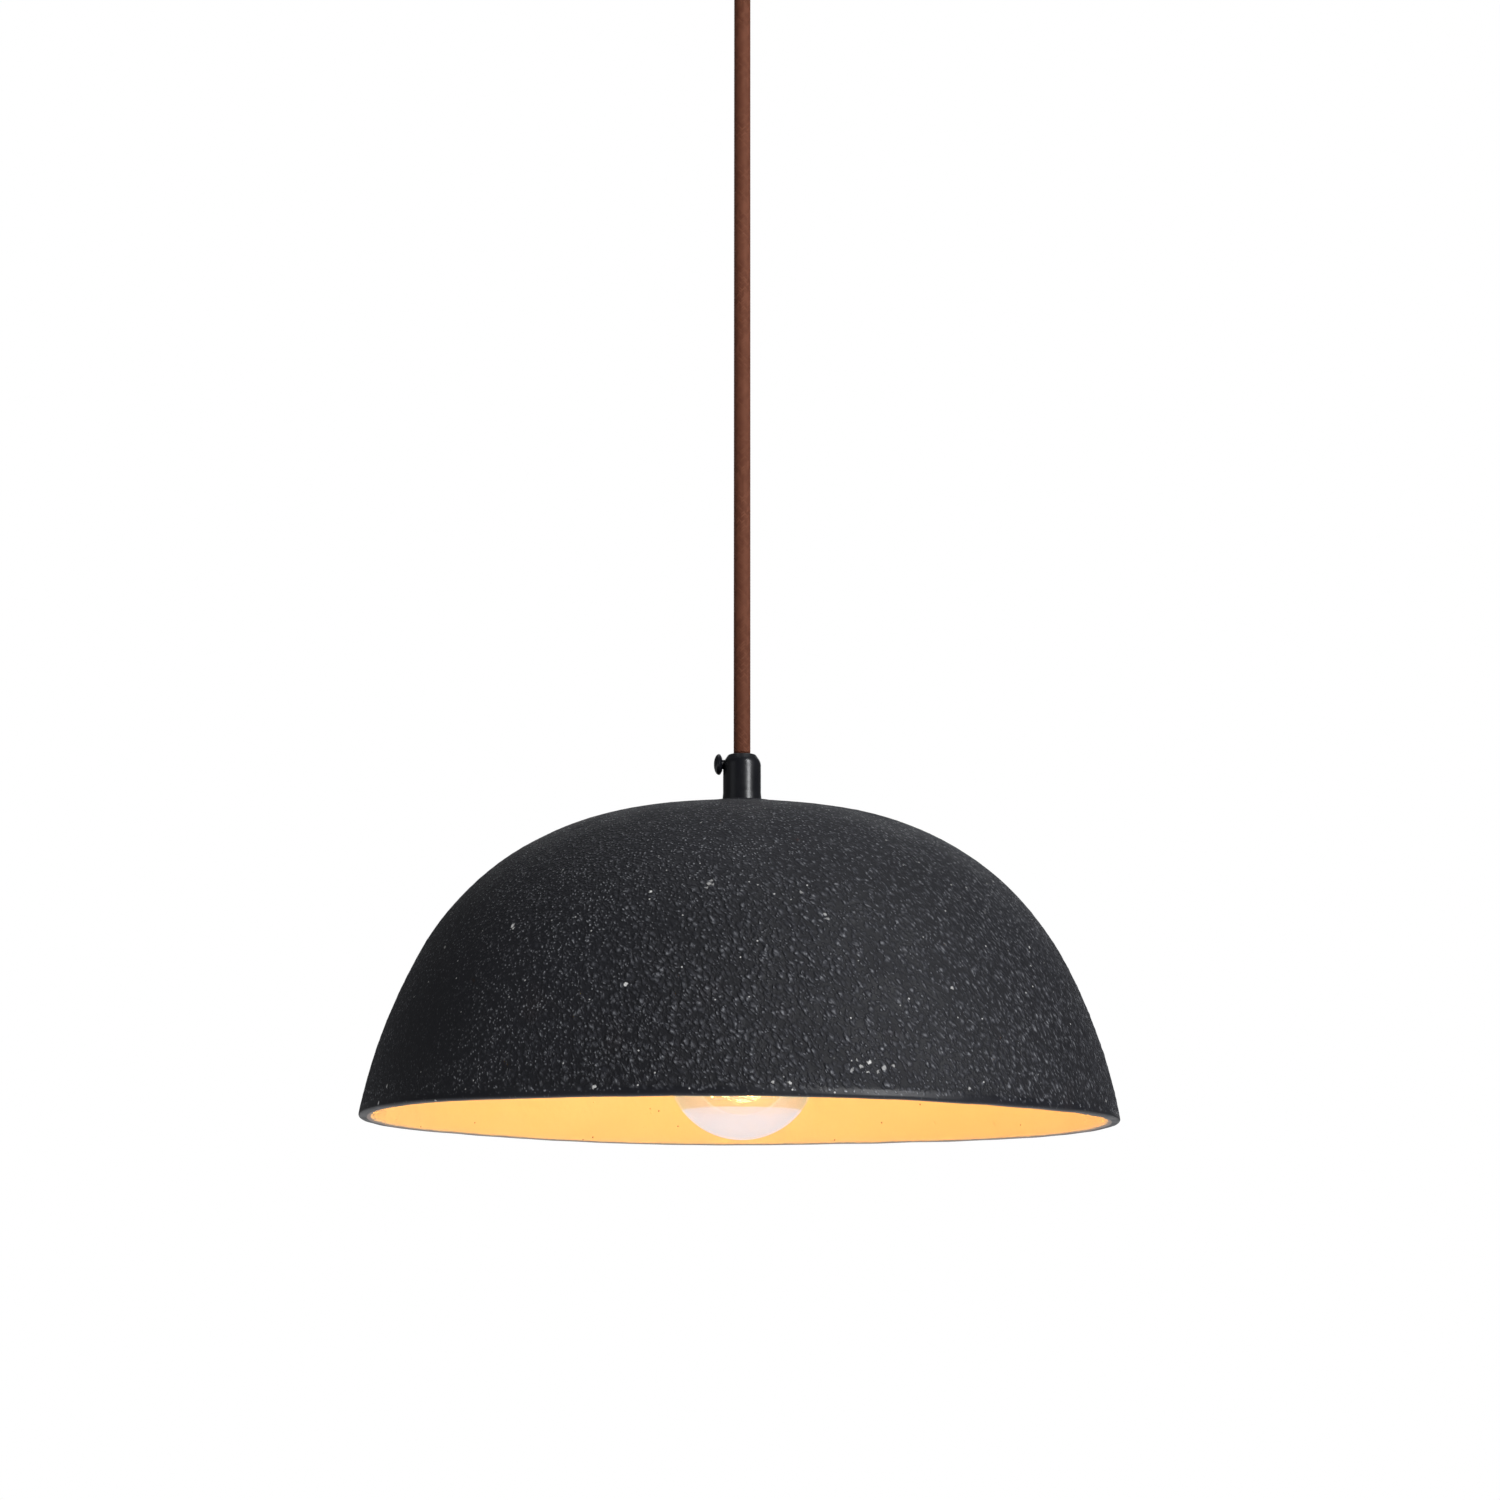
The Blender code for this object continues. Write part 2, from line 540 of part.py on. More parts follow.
def make_holder(phenolic, porcelain, brass, steel, lamp):
    """The rest of the lampholder: its screwed skirt, and a porcelain disc that carries the contacts."""
    inner, bore = 0.0169, 0.0152
    spigot = CORE_DISC[0] - GAP
    profile = [(bore, HOLDER_MOUTH), (0.0182, HOLDER_MOUTH), (0.0190, HOLDER_MOUTH + 0.0008),
               (0.0190, 0.0927), (inner, 0.0927), (inner, spigot), (bore, spigot)]
    revolve("holder_skirt", profile, phenolic, lamp)
    profile = [(0, CORE_DISC[0]), (0.016, CORE_DISC[0]), (0.016, CORE_DISC[1]), (0, CORE_DISC[1])]
    revolve("holder_disc", profile, porcelain, lamp)
    screw_x, entry = 0.0105, 0.0014
    for name, side in (("live", 1), ("neutral", -1)):
        low, high = sorted((side * 0.0083, side * 0.0128))
        block = extrude("holder_terminal_" + name, box_outline(low, high, -0.0025, 0.0025), "Z",
                        CORE_DISC[1] + GAP, 0.1056, brass, lamp)
        cut(block, rod(entry, (side * 0.0075, 0, LOW_CORE_Z), (side * 0.0117, 0, LOW_CORE_Z)))
        cut(block, rod(entry, (side * screw_x, 0, LOW_CORE_Z), (side * screw_x, -0.004, LOW_CORE_Z)))
        machine_screw("holder_screw_" + name, steel, lamp, (side * screw_x, -0.0034, LOW_CORE_Z),
                      (TURN / 4, 0, 0), (0, 0), (0.0011, 0.0020), slot=0.0006)
    leaf_low, leaf_high = 0.0986, 0.0990
    outline = box_outline(-0.0032, 0.0095, leaf_low, leaf_high)
    extrude("centre_contact", outline, "Y", -0.0025, 0.0025, brass, lamp)


def threaded_rows(radius, low, high, fade):
    """Profile points of a threaded wall from low to high. The thread's depth fades in and out over fade."""
    rows = round((high - low) / (PITCH / 5))
    points = []
    for k in range(rows + 1):
        z = low + (high - low) * k / rows
        depth = THREAD_DEPTH * min(1.0, (z - low) / fade, (high - z) / fade)
        points.append((radius, z, edison(depth)))
    return points


def make_screw_shell(brass, lamp):
    """The lampholder's screwed brass shell, which holds the bulb's cap."""
    low, top, flange = 0.0745, 0.0985, 0.0110
    thread = threaded_rows(SHELL_THREAD_RADIUS, 0.0765, 0.0915, THREAD_FADE)
    profile = [(SHELL_WALL_RADIUS, top), (SHELL_WALL_RADIUS, low), (0.0139, low), *thread,
               (SHELL_THREAD_RADIUS, top - 0.0007), (flange, top - 0.0007), (flange, top)]
    revolve("holder_screw_shell", profile, brass, lamp, sides=20)


def make_bulb(glass, brass, nickel, black_glass, wire, phosphor, lamp):
    neck_end = globe_outline(0)[-1][1]
    profile = [(0, GLOBE_CENTRE - GLOBE_RADIUS), *globe_outline(0), *reversed(globe_outline(GLASS_WALL)),
               (0, GLOBE_CENTRE - GLOBE_RADIUS + GLASS_WALL)]
    revolve("bulb_glass", profile, glass, lamp, sides=22)
    flange = neck_end + GAP
    thread = threaded_rows(CAP_THREAD_RADIUS, 0.0755, 0.0895, THREAD_FADE)
    profile = [(0.0114, flange), (0.0141, flange), (0.0141, flange + 0.0012), *thread, (0.0118, 0.0912),
               (0.0090, 0.0935), (0.0030, 0.0935), (0.0030, 0.0928), (0.0086, 0.0928), (0.0114, 0.0904)]
    revolve("bulb_cap", profile, nickel, lamp, sides=20)
    profile = [(0, 0.0938), (0.0088, 0.0938), (0.0064, 0.0962), (0.0052, 0.0968), (0, 0.0968)]
    revolve("bulb_insulator", profile, black_glass, lamp, sides=16)
    profile = [(0, 0.0971), (0.0048, 0.0971), (0.0046, 0.0976), (0.0034, 0.0981), (0, 0.0983)]
    revolve("bulb_contact", profile, brass, lamp, sides=16)
    profile = [(0, 0.0712), (0.0105, 0.0712), (0.0100, 0.0690), (0.0062, 0.0640), (0.0042, 0.0580),
               (0.0030, 0.0520), (0.0012, 0.0495), (0.0012, 0.0115), (0, 0.0115)]
    revolve("bulb_stem", profile, glass, lamp, sides=12)
    make_filament_frame("filament_frame_top", wire, lamp, *TOP_FRAME, hole=0.0016)
    make_filament_frame("filament_frame_low", wire, lamp, *LOW_FRAME, hole=0.0)
    for k in range(FILAMENTS):
        angle = filament_angle(k)
        ends = [(r * math.cos(angle), r * math.sin(angle), z) for r, z in
                ((TOP_FRAME[0], TOP_FRAME[1] - GAP), (LOW_FRAME[0], LOW_FRAME[1] + WIRE_SHEET + GAP))]
        add("filament_%d" % (k + 1), rod(FILAMENT_RADIUS, *ends, sides=8), phosphor, lamp)


def filament_angle(index):
    return TURN * (index + 0.5) / FILAMENTS + FILAMENT_TURN


def make_filament_frame(name, wire, lamp, radius, z, hole):
    """A star of flat wires that joins the filaments' ends."""
    outline = []
    hub, half = 0.0026, 0.00045
    reach = radius + 0.0008
    for k in range(FILAMENTS):
        angle = filament_angle(k)
        for r, shift in ((hub, -half), (reach, -half), (reach, half), (hub, half)):
            outline.append((r * math.cos(angle) - shift * math.sin(angle),
                            r * math.sin(angle) + shift * math.cos(angle)))
    frame = extrude(name, outline, "Z", z, z + WIRE_SHEET, wire, lamp)
    if hole:
        cut(frame, rod(hole, (0, 0, z - 0.001), (0, 0, z + 0.002)))


def make_low_cores(finishes, lamp):
    """The cores from the cord's lower end, inside the nipple, to the lampholder's terminals."""
    start_z = 0.1087
    for name, side in (("live", 1), ("neutral", -1)):
        x, y = side * CORE_SPREAD * math.cos(TURN / 12), CORE_SPREAD * math.sin(TURN / 12)
        stops = [(x, y, start_z), (side * 0.0019, 0.0006, 0.1062), (side * 0.0044, 0.0002, 0.1041),
                 (side * 0.0078, 0, LOW_CORE_Z), (side * 0.0112, 0, LOW_CORE_Z)]
        tube("core_%s_low" % name, smooth_route(stops, 0.002), CORE_RADIUS, finishes[name], lamp)
    under = CAP_CEILING - 2 * GAP - LUG_SHEET - CORE_RADIUS
    stops = [(0, -CORE_SPREAD, start_z), (0, -0.0017, 0.1064), (0, -0.0031, under + 0.0003),
             (0, -0.0062, under)]
    tube("core_earth_low", smooth_route(stops, 0.002), CORE_RADIUS, finishes["earth"], lamp)


def main():
    clear_scene()
    steel = material("zinc_steel", (0.55, 0.55, 0.53), 0.35, 1.0)
    paint = material("black_paint", (0.012, 0.012, 0.014), 0.35, 0.3)
    nylon = material("white_nylon", (0.80, 0.80, 0.76), 0.5)
    brass = material("brass", (0.75, 0.55, 0.25), 0.3, 1.0)
    braid = material("brown_braid", (0.16, 0.06, 0.04), 0.9)
    plaster = material("cast_black", (0.022, 0.022, 0.026), 0.8)
    rubber = material("rubber", (0.02, 0.02, 0.02), 0.85)
    phenolic = material("holder_black", (0.02, 0.02, 0.02), 0.4)
    porcelain = material("porcelain", (0.85, 0.83, 0.78), 0.3)
    glass = material("clear_glass", (0.95, 0.95, 0.95), 0.05)
    nickel = material("nickel", (0.70, 0.68, 0.64), 0.25, 1.0)
    black_glass = material("black_glass", (0.01, 0.01, 0.01), 0.15)
    wire = material("nickel_wire", (0.60, 0.58, 0.55), 0.35, 1.0)
    phosphor = material("phosphor", (1.0, 0.72, 0.30), 0.6)
    cores = {
        "live": material("core_brown", (0.18, 0.07, 0.03), 0.5),
        "neutral": material("core_blue", (0.03, 0.12, 0.45), 0.5),
        "earth": material("core_green_yellow", (0.35, 0.55, 0.05), 0.5),
    }

    ceiling = empty("ceiling_fitting", (0, 0, 0))
    first_bend = empty("swing_x_axis", (0, 0, SWING_X_Z), ceiling)
    second_bend = empty("swing_y_axis", (0, 0, SWING_Y_Z - SWING_X_Z), first_bend)
    lamp = empty("lamp_rim", (0, 0, -DROP - SWING_Y_Z), second_bend)

    make_bracket(steel, ceiling)
    make_canopy(paint, ceiling)
    make_gland(paint, steel, ceiling)
    make_terminals(nylon, brass, steel, ceiling)
    make_canopy_screws(steel, ceiling)
    make_top_cores(cores, ceiling)

    half = GAP / 2
    cord("cord_entry", -0.0165, SWING_X_Z + half, braid, ceiling, swings=False)
    cord("cord_bend", -half, SWING_Y_Z - SWING_X_Z + half, braid, first_bend, swings=True)
    cord("cord_run", -half, -DROP + TWIST_Z - SWING_Y_Z + half, braid, second_bend, swings=True)
    cord("cord_tail", TWIST_Z - half, 0.1090, braid, lamp, swings=False)

    make_cord_grip(paint, lamp)
    make_clamp(paint, nylon, lamp)
    make_shade(plaster, lamp)
    make_shade_fixing(steel, rubber, lamp)
    make_holder_cap(paint, brass, steel, lamp)
    make_holder(phenolic, porcelain, brass, steel, lamp)
    make_screw_shell(brass, lamp)
    make_low_cores(cores, lamp)
    make_bulb(glass, brass, nickel, black_glass, wire, phosphor, lamp)


main()
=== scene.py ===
"""Looks of the pendant ceiling light: a grainy black dome with a warm inside, on a braided cord.

Every piece is drawn in the frame's own metres, round the Z axis, in the place that its CAD node holds.
"""

import json
from math import cos, dist, exp, inf, pi, radians, sin, tan

import bmesh
import bpy
import numpy as np
from mathutils import Matrix, Vector, noise

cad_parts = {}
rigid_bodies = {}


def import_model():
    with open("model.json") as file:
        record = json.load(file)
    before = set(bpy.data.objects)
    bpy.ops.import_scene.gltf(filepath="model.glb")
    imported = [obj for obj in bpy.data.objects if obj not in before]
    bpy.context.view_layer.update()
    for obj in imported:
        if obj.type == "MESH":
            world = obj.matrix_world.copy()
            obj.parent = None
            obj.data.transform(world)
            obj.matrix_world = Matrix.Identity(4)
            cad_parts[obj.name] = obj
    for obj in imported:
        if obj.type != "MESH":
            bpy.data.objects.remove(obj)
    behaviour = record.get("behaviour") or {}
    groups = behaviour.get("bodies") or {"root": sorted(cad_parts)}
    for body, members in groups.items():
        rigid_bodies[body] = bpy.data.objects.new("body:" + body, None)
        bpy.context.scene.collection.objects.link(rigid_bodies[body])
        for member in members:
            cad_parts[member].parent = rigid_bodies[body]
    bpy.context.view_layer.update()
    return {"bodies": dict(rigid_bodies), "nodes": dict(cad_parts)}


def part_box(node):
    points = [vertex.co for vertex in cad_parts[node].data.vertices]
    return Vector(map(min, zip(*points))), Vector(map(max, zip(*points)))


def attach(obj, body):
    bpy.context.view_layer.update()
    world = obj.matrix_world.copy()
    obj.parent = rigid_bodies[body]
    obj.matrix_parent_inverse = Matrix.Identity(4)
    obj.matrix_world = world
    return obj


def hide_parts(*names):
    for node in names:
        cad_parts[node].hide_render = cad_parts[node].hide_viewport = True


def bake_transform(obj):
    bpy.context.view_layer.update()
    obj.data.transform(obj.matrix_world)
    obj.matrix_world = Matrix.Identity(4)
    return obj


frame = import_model()

TURN = 2 * pi
MM = 0.001

# Heights and a radius that the frame gives
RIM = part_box("shade")[0].z
CORD_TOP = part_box("cord_entry")[1].z
TAIL_LOW, TAIL_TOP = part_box("cord_tail")[0].z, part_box("cord_tail")[1].z
CORD_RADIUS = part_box("cord_tail")[1].x

# Cord: the stretch out of the gland ends here, by the two swing joints
ENTRY_END = -0.063
STRANDS = 18
BRAID_PITCH = 0.0225  # one turn of a strand
BRAID_HEIGHT = 0.00011

# Shade: three tangent arcs from the top to the rim, as (radius, slope at the arc's lower end)
SHADE_HEIGHT = 0.125
SHADE_ARCS = ((0.318, 8.3), (0.1102, 62.0), (0.2192, 79.85))
SHADE_WALL = 0.0055
BOSS_RADIUS, BOSS_HEIGHT = 0.0146, 0.002
SEAT_HEIGHT = 0.1193
SHADE_TILT = radians(0.45)  # the hand-made dome isn't quite true
SHADE_LEAN = radians(0.55)
CLUSTER = Vector((0.0459, -0.1396, 0.0105))  # a patch of coarser grains near the rim

# Chips in the paint at the front: place from the rim's centre and radius in mm, and how pale
MARKS = (
    (-84.7, -94.4, 66.6, 1.05, 1), (-84.3, -95.5, 65.6, 0.8, 0.9), (45.9, -139.1, 12.5, 1.2, 1),
    (42.9, -140.5, 10.9, 1, 0.5), (51.1, -137.7, 10.7, 1.2, 0.5), (45.1, -140.3, 8.9, 0.9, 0.8),
    (39.7, -141.8, 9.7, 1, 0.4), (54.5, -136.2, 11.5, 0.9, 0.5), (48.9, -138.9, 9.1, 0.8, 0.4),
    (41.3, -140.4, 13.3, 0.8, 0.4), (-11.8, -117.3, 79.2, 1, 0.5), (-10.9, -116.4, 80.5, 0.8, 0.4),
    (-12.5, -118.4, 77.7, 0.8, 0.4), (-10.4, -117.7, 78.9, 0.7, 0.4), (76.8, -113.6, 41.5, 0.8, 0.6),
    (30.5, -121.4, 67.7, 0.9, 0.5), (31.5, -122.2, 65.9, 0.8, 0.4), (-52.2, -139.9, 3.6, 0.9, 0.9),
    (-133.3, -66.4, 9.4, 0.9, 0.8), (-112.1, -100.1, 1.4, 0.8, 0.7), (11.3, -148.1, 4.7, 0.8, 0.7),
    (17.3, -147.5, 4.4, 0.9, 0.8), (138.6, -49.9, 5, 0.8, 0.6), (82.4, -122.8, 4.5, 0.8, 0.6),
    (21.8, -117.8, 76.2, 0.8, 0.5), (109.2, -66, 62, 0.8, 0.6),
)
MARK_SHAKE = 0.0016  # how ragged their edges are

# Bulb, a 60 mm globe
GLOBE_RADIUS = 0.03
GLOBE_CENTRE = 0.0232
GLASS_WALL = 0.0008
NECK_RADIUS = 0.0139
NECK_TURN = radians(36)
REFLECTION_TOP = 0.0047  # the top of the pale painted reflection on the globe's lower part, above the rim plane

# Thread E27
PITCH = 0.0254 / 7
THREAD_DEPTH = 0.00045

# Bores, and metric sizes as radii, with the pitch and the head (radius, height) of each screw
CORD_BORE = 0.00375
M10_HOLE = 0.0053
M3, M4, M4_HOLE = 0.0015, 0.002, 0.0023
METRIC_PITCH = {M3: 0.0005, M4: 0.0007}
HEAD = {M3: (0.0028, 0.0018), M4: (0.0036, 0.0022)}
SCREW_SLOT = 0.0008

# Warm light of the filaments
GLOW = (1.0, 0.55, 0.17)

# The studio's pale floor, and how bright it is for the lamp and for the eye
FLOOR_HEIGHT, FLOOR_RADIUS = -1.45, 12.0
FLOOR_GLOW, FLOOR_SEEN = 0.4, 0.93


# ---- materials


class Value:
    """A node's output, which can be added and multiplied like a number."""

    def __init__(self, finish, socket):
        self.finish = finish
        self.socket = socket

    def __add__(self, other):
        return self.finish.maths("ADD", self, other)

    def __sub__(self, other):
        return self.finish.maths("SUBTRACT", self, other)

    def __rsub__(self, other):
        return self.finish.maths("SUBTRACT", other, self)

    def __mul__(self, other):
        return self.finish.maths("MULTIPLY", self, other)

    def __pow__(self, power):
        return self.finish.maths("POWER", self, power)

    __radd__ = __add__
    __rmul__ = __mul__


class Finish:
    """A procedural material. Most methods add a node and return its output."""

    def __init__(self, name, roughness=0.5, metallic=0.0, **sockets):
        self.material = bpy.data.materials.new(name)
        self.material.use_nodes = True
        self.tree = self.material.node_tree
        self.shader = self.tree.nodes["Principled BSDF"]
        self.place = self.node("TexCoord", "Object")
        self.set(Roughness=roughness, Metallic=metallic, **sockets)

    def put(self, socket, value):
        if isinstance(value, Value):
            self.tree.links.new(value.socket, socket)
        elif isinstance(value, tuple) and len(value) == 3 and socket.type == "RGBA":
            socket.default_value = (*value, 1.0)
        else:
            socket.default_value = value

    def set(self, **sockets):
        """Gives the shader's sockets their values."""
        for name, value in sockets.items():
            self.put(self.shader.inputs[name.replace("_", " ")], value)

    def node(self, kind, output=0, settings=None, **sockets):
        made = self.tree.nodes.new("ShaderNode" + kind)
        for name, value in (settings or {}).items():
            setattr(made, name, value)
        for name, value in sockets.items():
            self.put(made.inputs[name.replace("_", " ")], value)
        return Value(self, made.outputs[output])

    def filled(self, kind, values, output=0, **settings):
        """A node whose inputs take the values in order."""
        made = self.tree.nodes.new("ShaderNode" + kind)
        for name, value in settings.items():
            setattr(made, name, value)
        for socket, value in zip(made.inputs, values):
            self.put(socket, value)
        return Value(self, made.outputs[output])

    def maths(self, operation, *values):
        return self.filled("Math", values, operation=operation)

    def step(self, value, low, high, start=0.0, end=1.0):
        """A smooth change from start to end as value goes from low to high."""
        values = (value, low, high, start, end)
        return self.filled("MapRange", values, interpolation_type="SMOOTHSTEP")

    def mix(self, share, first, second):
        made = self.tree.nodes.new("ShaderNodeMix")
        made.data_type = "RGBA"
        for index, value in ((0, share), (6, first), (7, second)):
            self.put(made.inputs[index], value)
        return Value(self, made.outputs[2])

    def blend(self, share, first, second):
        """Two shaders, mixed."""
        return self.filled("MixShader", (share, first, second))

    def stretched(self, x=1.0, y=1.0, z=1.0, turn=(0.0, 0.0, 0.0)):
        """The object's own coordinates on axes turned by turn, and then scaled along each of them."""
        return self.node("Mapping", 0, {"vector_type": "TEXTURE"}, Vector=self.place,
                         Scale=(1 / x, 1 / y, 1 / z), Rotation=turn)

    def shaken(self, place, reach, scale, detail, roughness=0.5):
        """The place, moved by up to reach along each axis."""
        noisy = self.node("TexNoise", "Color", Vector=place, Scale=scale, Detail=detail, Roughness=roughness)
        return self.filled("VectorMath", (noisy, (reach,) * 3, place), operation="MULTIPLY_ADD")

    def cloud(self, scale, detail=3.0, roughness=0.5, place=None):
        return self.node("TexNoise", "Fac", Vector=place or self.place, Scale=scale, Detail=detail,
                         Roughness=roughness)

    def cells(self, scale, place=None, output="Distance"):
        """The distance to the middle of the nearest cell, or a colour for each cell."""
        return self.node("TexVoronoi", output, Vector=place or self.place, Scale=scale)

    def pick(self, scale, place=None):
        """A number from 0 to 1 for each cell of the same scale."""
        return self.node("SeparateColor", 0, Color=self.cells(scale, place, "Color"))

    def spots(self, scale, reach, rarity, place=None):
        """A mask of round spots in the few cells whose number passes rarity's two limits."""
        return self.step(self.cells(scale, place), *reach) * self.step(self.pick(scale, place), *rarity)

    def axis(self, name):
        """One of the object's own coordinates, in metres."""
        return self.node("SeparateXYZ", name, Vector=self.place)

    def stored(self, name):
        """A number stored on the mesh's points."""
        return self.node("Attribute", "Fac", {"attribute_name": name})

    def relief(self, height, depth):
        """Bump of that depth in metres."""
        self.set(Normal=self.node("Bump", Strength=1.0, Distance=depth, Height=height))

    def surface(self, shader):
        """Puts another shader in the place of the principled one."""
        self.tree.nodes.remove(self.shader)
        self.put(self.tree.nodes["Material Output"].inputs["Surface"], shader)


def scaled(tone, share):
    return tuple(share * part for part in tone)


def marks(made):
    """Pale chips and crumbs in the paint that stand out at the front, as a mask from 0 to 1."""
    place = made.shaken(made.place, MARK_SHAKE, 900.0, 2.0)
    middle = MARK_SHAKE / 2
    mask = 0.0
    for *centre, radius, strength in MARKS:
        centre = MM * Vector(centre) + Vector((middle, middle, RIM + middle))
        away = made.filled("VectorMath", (place, centre), "Value", operation="DISTANCE")
        mask = mask + made.step(away, MM * radius, 0.55 * MM * radius, 0.0, strength)
    return mask


def shade_finish():
    """Black grainy paint outside, with painted shade between its bumps and painted highlights on their tips,
    a bare clay lip, and a warm cream glaze inside, painted darker towards +X.
    """
    made = Finish("shade_glaze", Specular_IOR_Level=0.38)
    across, coarse = made.stored("across"), made.stored("coarse")
    edge = across + (made.cloud(200, 2) - 0.5) * 0.7
    outside = made.step(edge, 4.5, 4.0)
    inside = made.step(edge, 5.5, 6.1)

    # Grain: bumps of 1 to 2 mm that lean to one side, over a fine sandy tooth
    leaning = made.stretched(1.0, 1.0, 0.6, (0.0, -0.62, 0.0))
    warped = made.shaken(leaning, 0.0034, 210.0, 3.5, 0.62)
    big, big_share = made.step(made.cells(500, warped), 0.66, 0.04), made.pick(500, warped)
    small, small_share = made.step(made.cells(900, warped), 0.66, 0.04), made.pick(900, warped)
    worn = made.step(coarse, 0.02, 0.26, 0.12, 1.0)  # smooth patches lose their grain
    grain = big * (0.25 + big_share * 0.75) * coarse
    grain = grain + small * (0.25 + small_share * 0.75) * worn * 0.5 + made.cloud(2400, 2) * 0.12

    # Paint: blue-black, with painted shade between the bumps and painted highlights on their tips, and brown
    # smudges
    paint = made.mix(made.cloud(22, 4, 0.6), (0.0162, 0.0167, 0.022), (0.027, 0.0279, 0.0361))
    smudge = made.step(made.cloud(28, 2, place=made.stretched(turn=(0.3, 0.2, 1.1))), 0.66, 0.8)
    paint = made.mix(smudge * 0.3, paint, (0.052, 0.034, 0.032))
    # painted shade: the paint darkens between the bumps
    painted_gap_shade = made.step(grain, 0.42, 0.08) * made.step(coarse, 0.2, 0.8, 0.52, 0.78)
    paint = made.mix(painted_gap_shade, paint, (0.0045, 0.0047, 0.0066))
    # painted highlights: the tips of the small and large bumps are paler
    fine = small ** 4.2 * made.step(small_share, 0.15, 1.0) * worn
    fine = fine * made.step(coarse, 0.15, 0.65, 2.3, 0.8) * 0.95
    tips = big ** 4.0 * made.step(big_share, 0.12, 1.0) * coarse + fine
    paint = made.mix(tips, paint, (0.265, 0.27, 0.29))

    # Pale crumbs and flakes, and hairline scratches
    crumbs = made.spots(330, (0.15, 0.08), (0.925, 0.935)) * 0.8
    flakes = made.spots(110, (0.1, 0.06), (0.93, 0.94), warped)
    chips = made.maths("MINIMUM", crumbs + flakes + marks(made), 1.0)
    paint = made.mix(chips, paint, (0.78, 0.77, 0.75))
    hairline = made.stretched(1.0, 1.0, 0.035, (0.14, 0.16, 0.0))
    scratches = made.spots(420, (0.1, 0.04), (0.975, 0.98), hairline)
    paint = made.mix(scratches * 0.3, paint, (0.2, 0.2, 0.21))

    clay = made.mix(made.cloud(300, 4, 0.7), (0.24, 0.175, 0.145), (0.42, 0.33, 0.28))
    cream = made.mix(made.cloud(26, 4), (0.86, 0.6, 0.275), (0.93, 0.68, 0.35))
    # painted shade: the inside is darker and deeper orange towards +X
    cream = made.mix(made.step(made.axis("X"), -0.02, 0.11, 0.0, 0.28), cream, (0.85, 0.5, 0.22))
    pits = made.spots(250, (0.125, 0.065), (0.86, 0.88))
    cream = made.mix(pits * 0.7, cream, (0.2, 0.11, 0.05))

    sheen = made.step(across, -3.0, -1.4)  # the paint pools smooth just above the lip
    paint_rough = made.step(made.cloud(60, 3), 0.3, 0.7, 0.56, 0.7) - sheen * 0.24
    paint_rough = paint_rough - made.maths("MINIMUM", tips, 1.0) * 0.26
    made.set(Base_Color=made.mix(outside, made.mix(inside, clay, cream), paint),
             Roughness=made.mix(outside, (0.46, 0.46, 0.46), paint_rough))
    height = grain * outside * (1 - sheen * 0.85) + chips * 0.2
    soft = made.cloud(240, 3) * (1 - outside) * 0.17 - pits * inside * 0.45
    made.relief(height + soft, 0.00105)
    return made.material


def braid_finish():
    """Brown cotton braid: each strand has its own tone, with painted shade in the dips between strands, and
    fine threads along it.
    """
    made = Finish("brown_braid", 0.58, Sheen_Weight=0.06, Sheen_Roughness=0.55, Specular_IOR_Level=0.38,
                  Specular_Tint=(0.95, 0.6, 0.45), Sheen_Tint=(0.8, 0.45, 0.33))
    u, v = made.stored("braid_u"), made.stored("braid_v")

    def strands(along, over, phase):
        """One family of strands: its height, its numbers, and the place across each strand."""
        number, across = made.maths("FLOOR", along), made.maths("FRACT", along)
        place = across * 2.0 - 1.0
        lift = 0.675 + made.maths("COSINE", (number + over - phase) * (TURN / 4)) * 0.325
        return (1 - place * place) * lift, number, across

    right, right_number, right_across = strands(u, v, 1.0)
    left, left_number, left_across = strands(v, u, 3.0)
    is_right = made.maths("GREATER_THAN", right, left)
    is_left = 1 - is_right
    height = made.maths("MAXIMUM", right, left)
    number = is_right * right_number + is_left * (left_number + 500.5)
    across = is_right * right_across + is_left * left_across
    tone = made.node("TexWhiteNoise", "Value", {"noise_dimensions": "1D"}, W=number)
    brown = made.mix(tone, (0.135, 0.04, 0.02), (0.215, 0.072, 0.04))
    # painted shade in the dips between the strands
    brown = made.mix(made.step(height, 0.62, 0.05), brown, (0.03, 0.01, 0.007))
    lines = made.maths("SINE", across * (TURN * 5))
    brown = made.mix(made.step(lines, 0.2, 1.0) * 0.3, brown, (0.07, 0.024, 0.015))
    fluff = made.step(made.cloud(1400, 3), 0.62, 0.8)
    made.set(Base_Color=made.mix(fluff * 0.3, brown, (0.4, 0.2, 0.14)))
    made.relief(height + lines * 0.18 + made.cloud(3000, 2) * 0.4, 0.00006)
    return made.material


def paint_finish(name, tone, roughness):
    """Satin powder paint: faint orange peel and a little dust."""
    made = Finish(name, Specular_IOR_Level=0.5, Coat_Weight=0.15, Coat_Roughness=0.25)
    base = made.mix(made.cloud(120, 4), scaled(tone, 0.8), scaled(tone, 1.25))
    dust = made.spots(600, (0.13, 0.07), (0.93, 0.95))
    made.set(Base_Color=made.mix(dust * 0.12, base, (0.3, 0.29, 0.27)),
             Roughness=made.step(made.cloud(260, 3), 0.3, 0.7, roughness - 0.03, roughness + 0.05))
    made.relief(made.cloud(700, 2) + dust * 0.4, 0.000006)
    return made.material


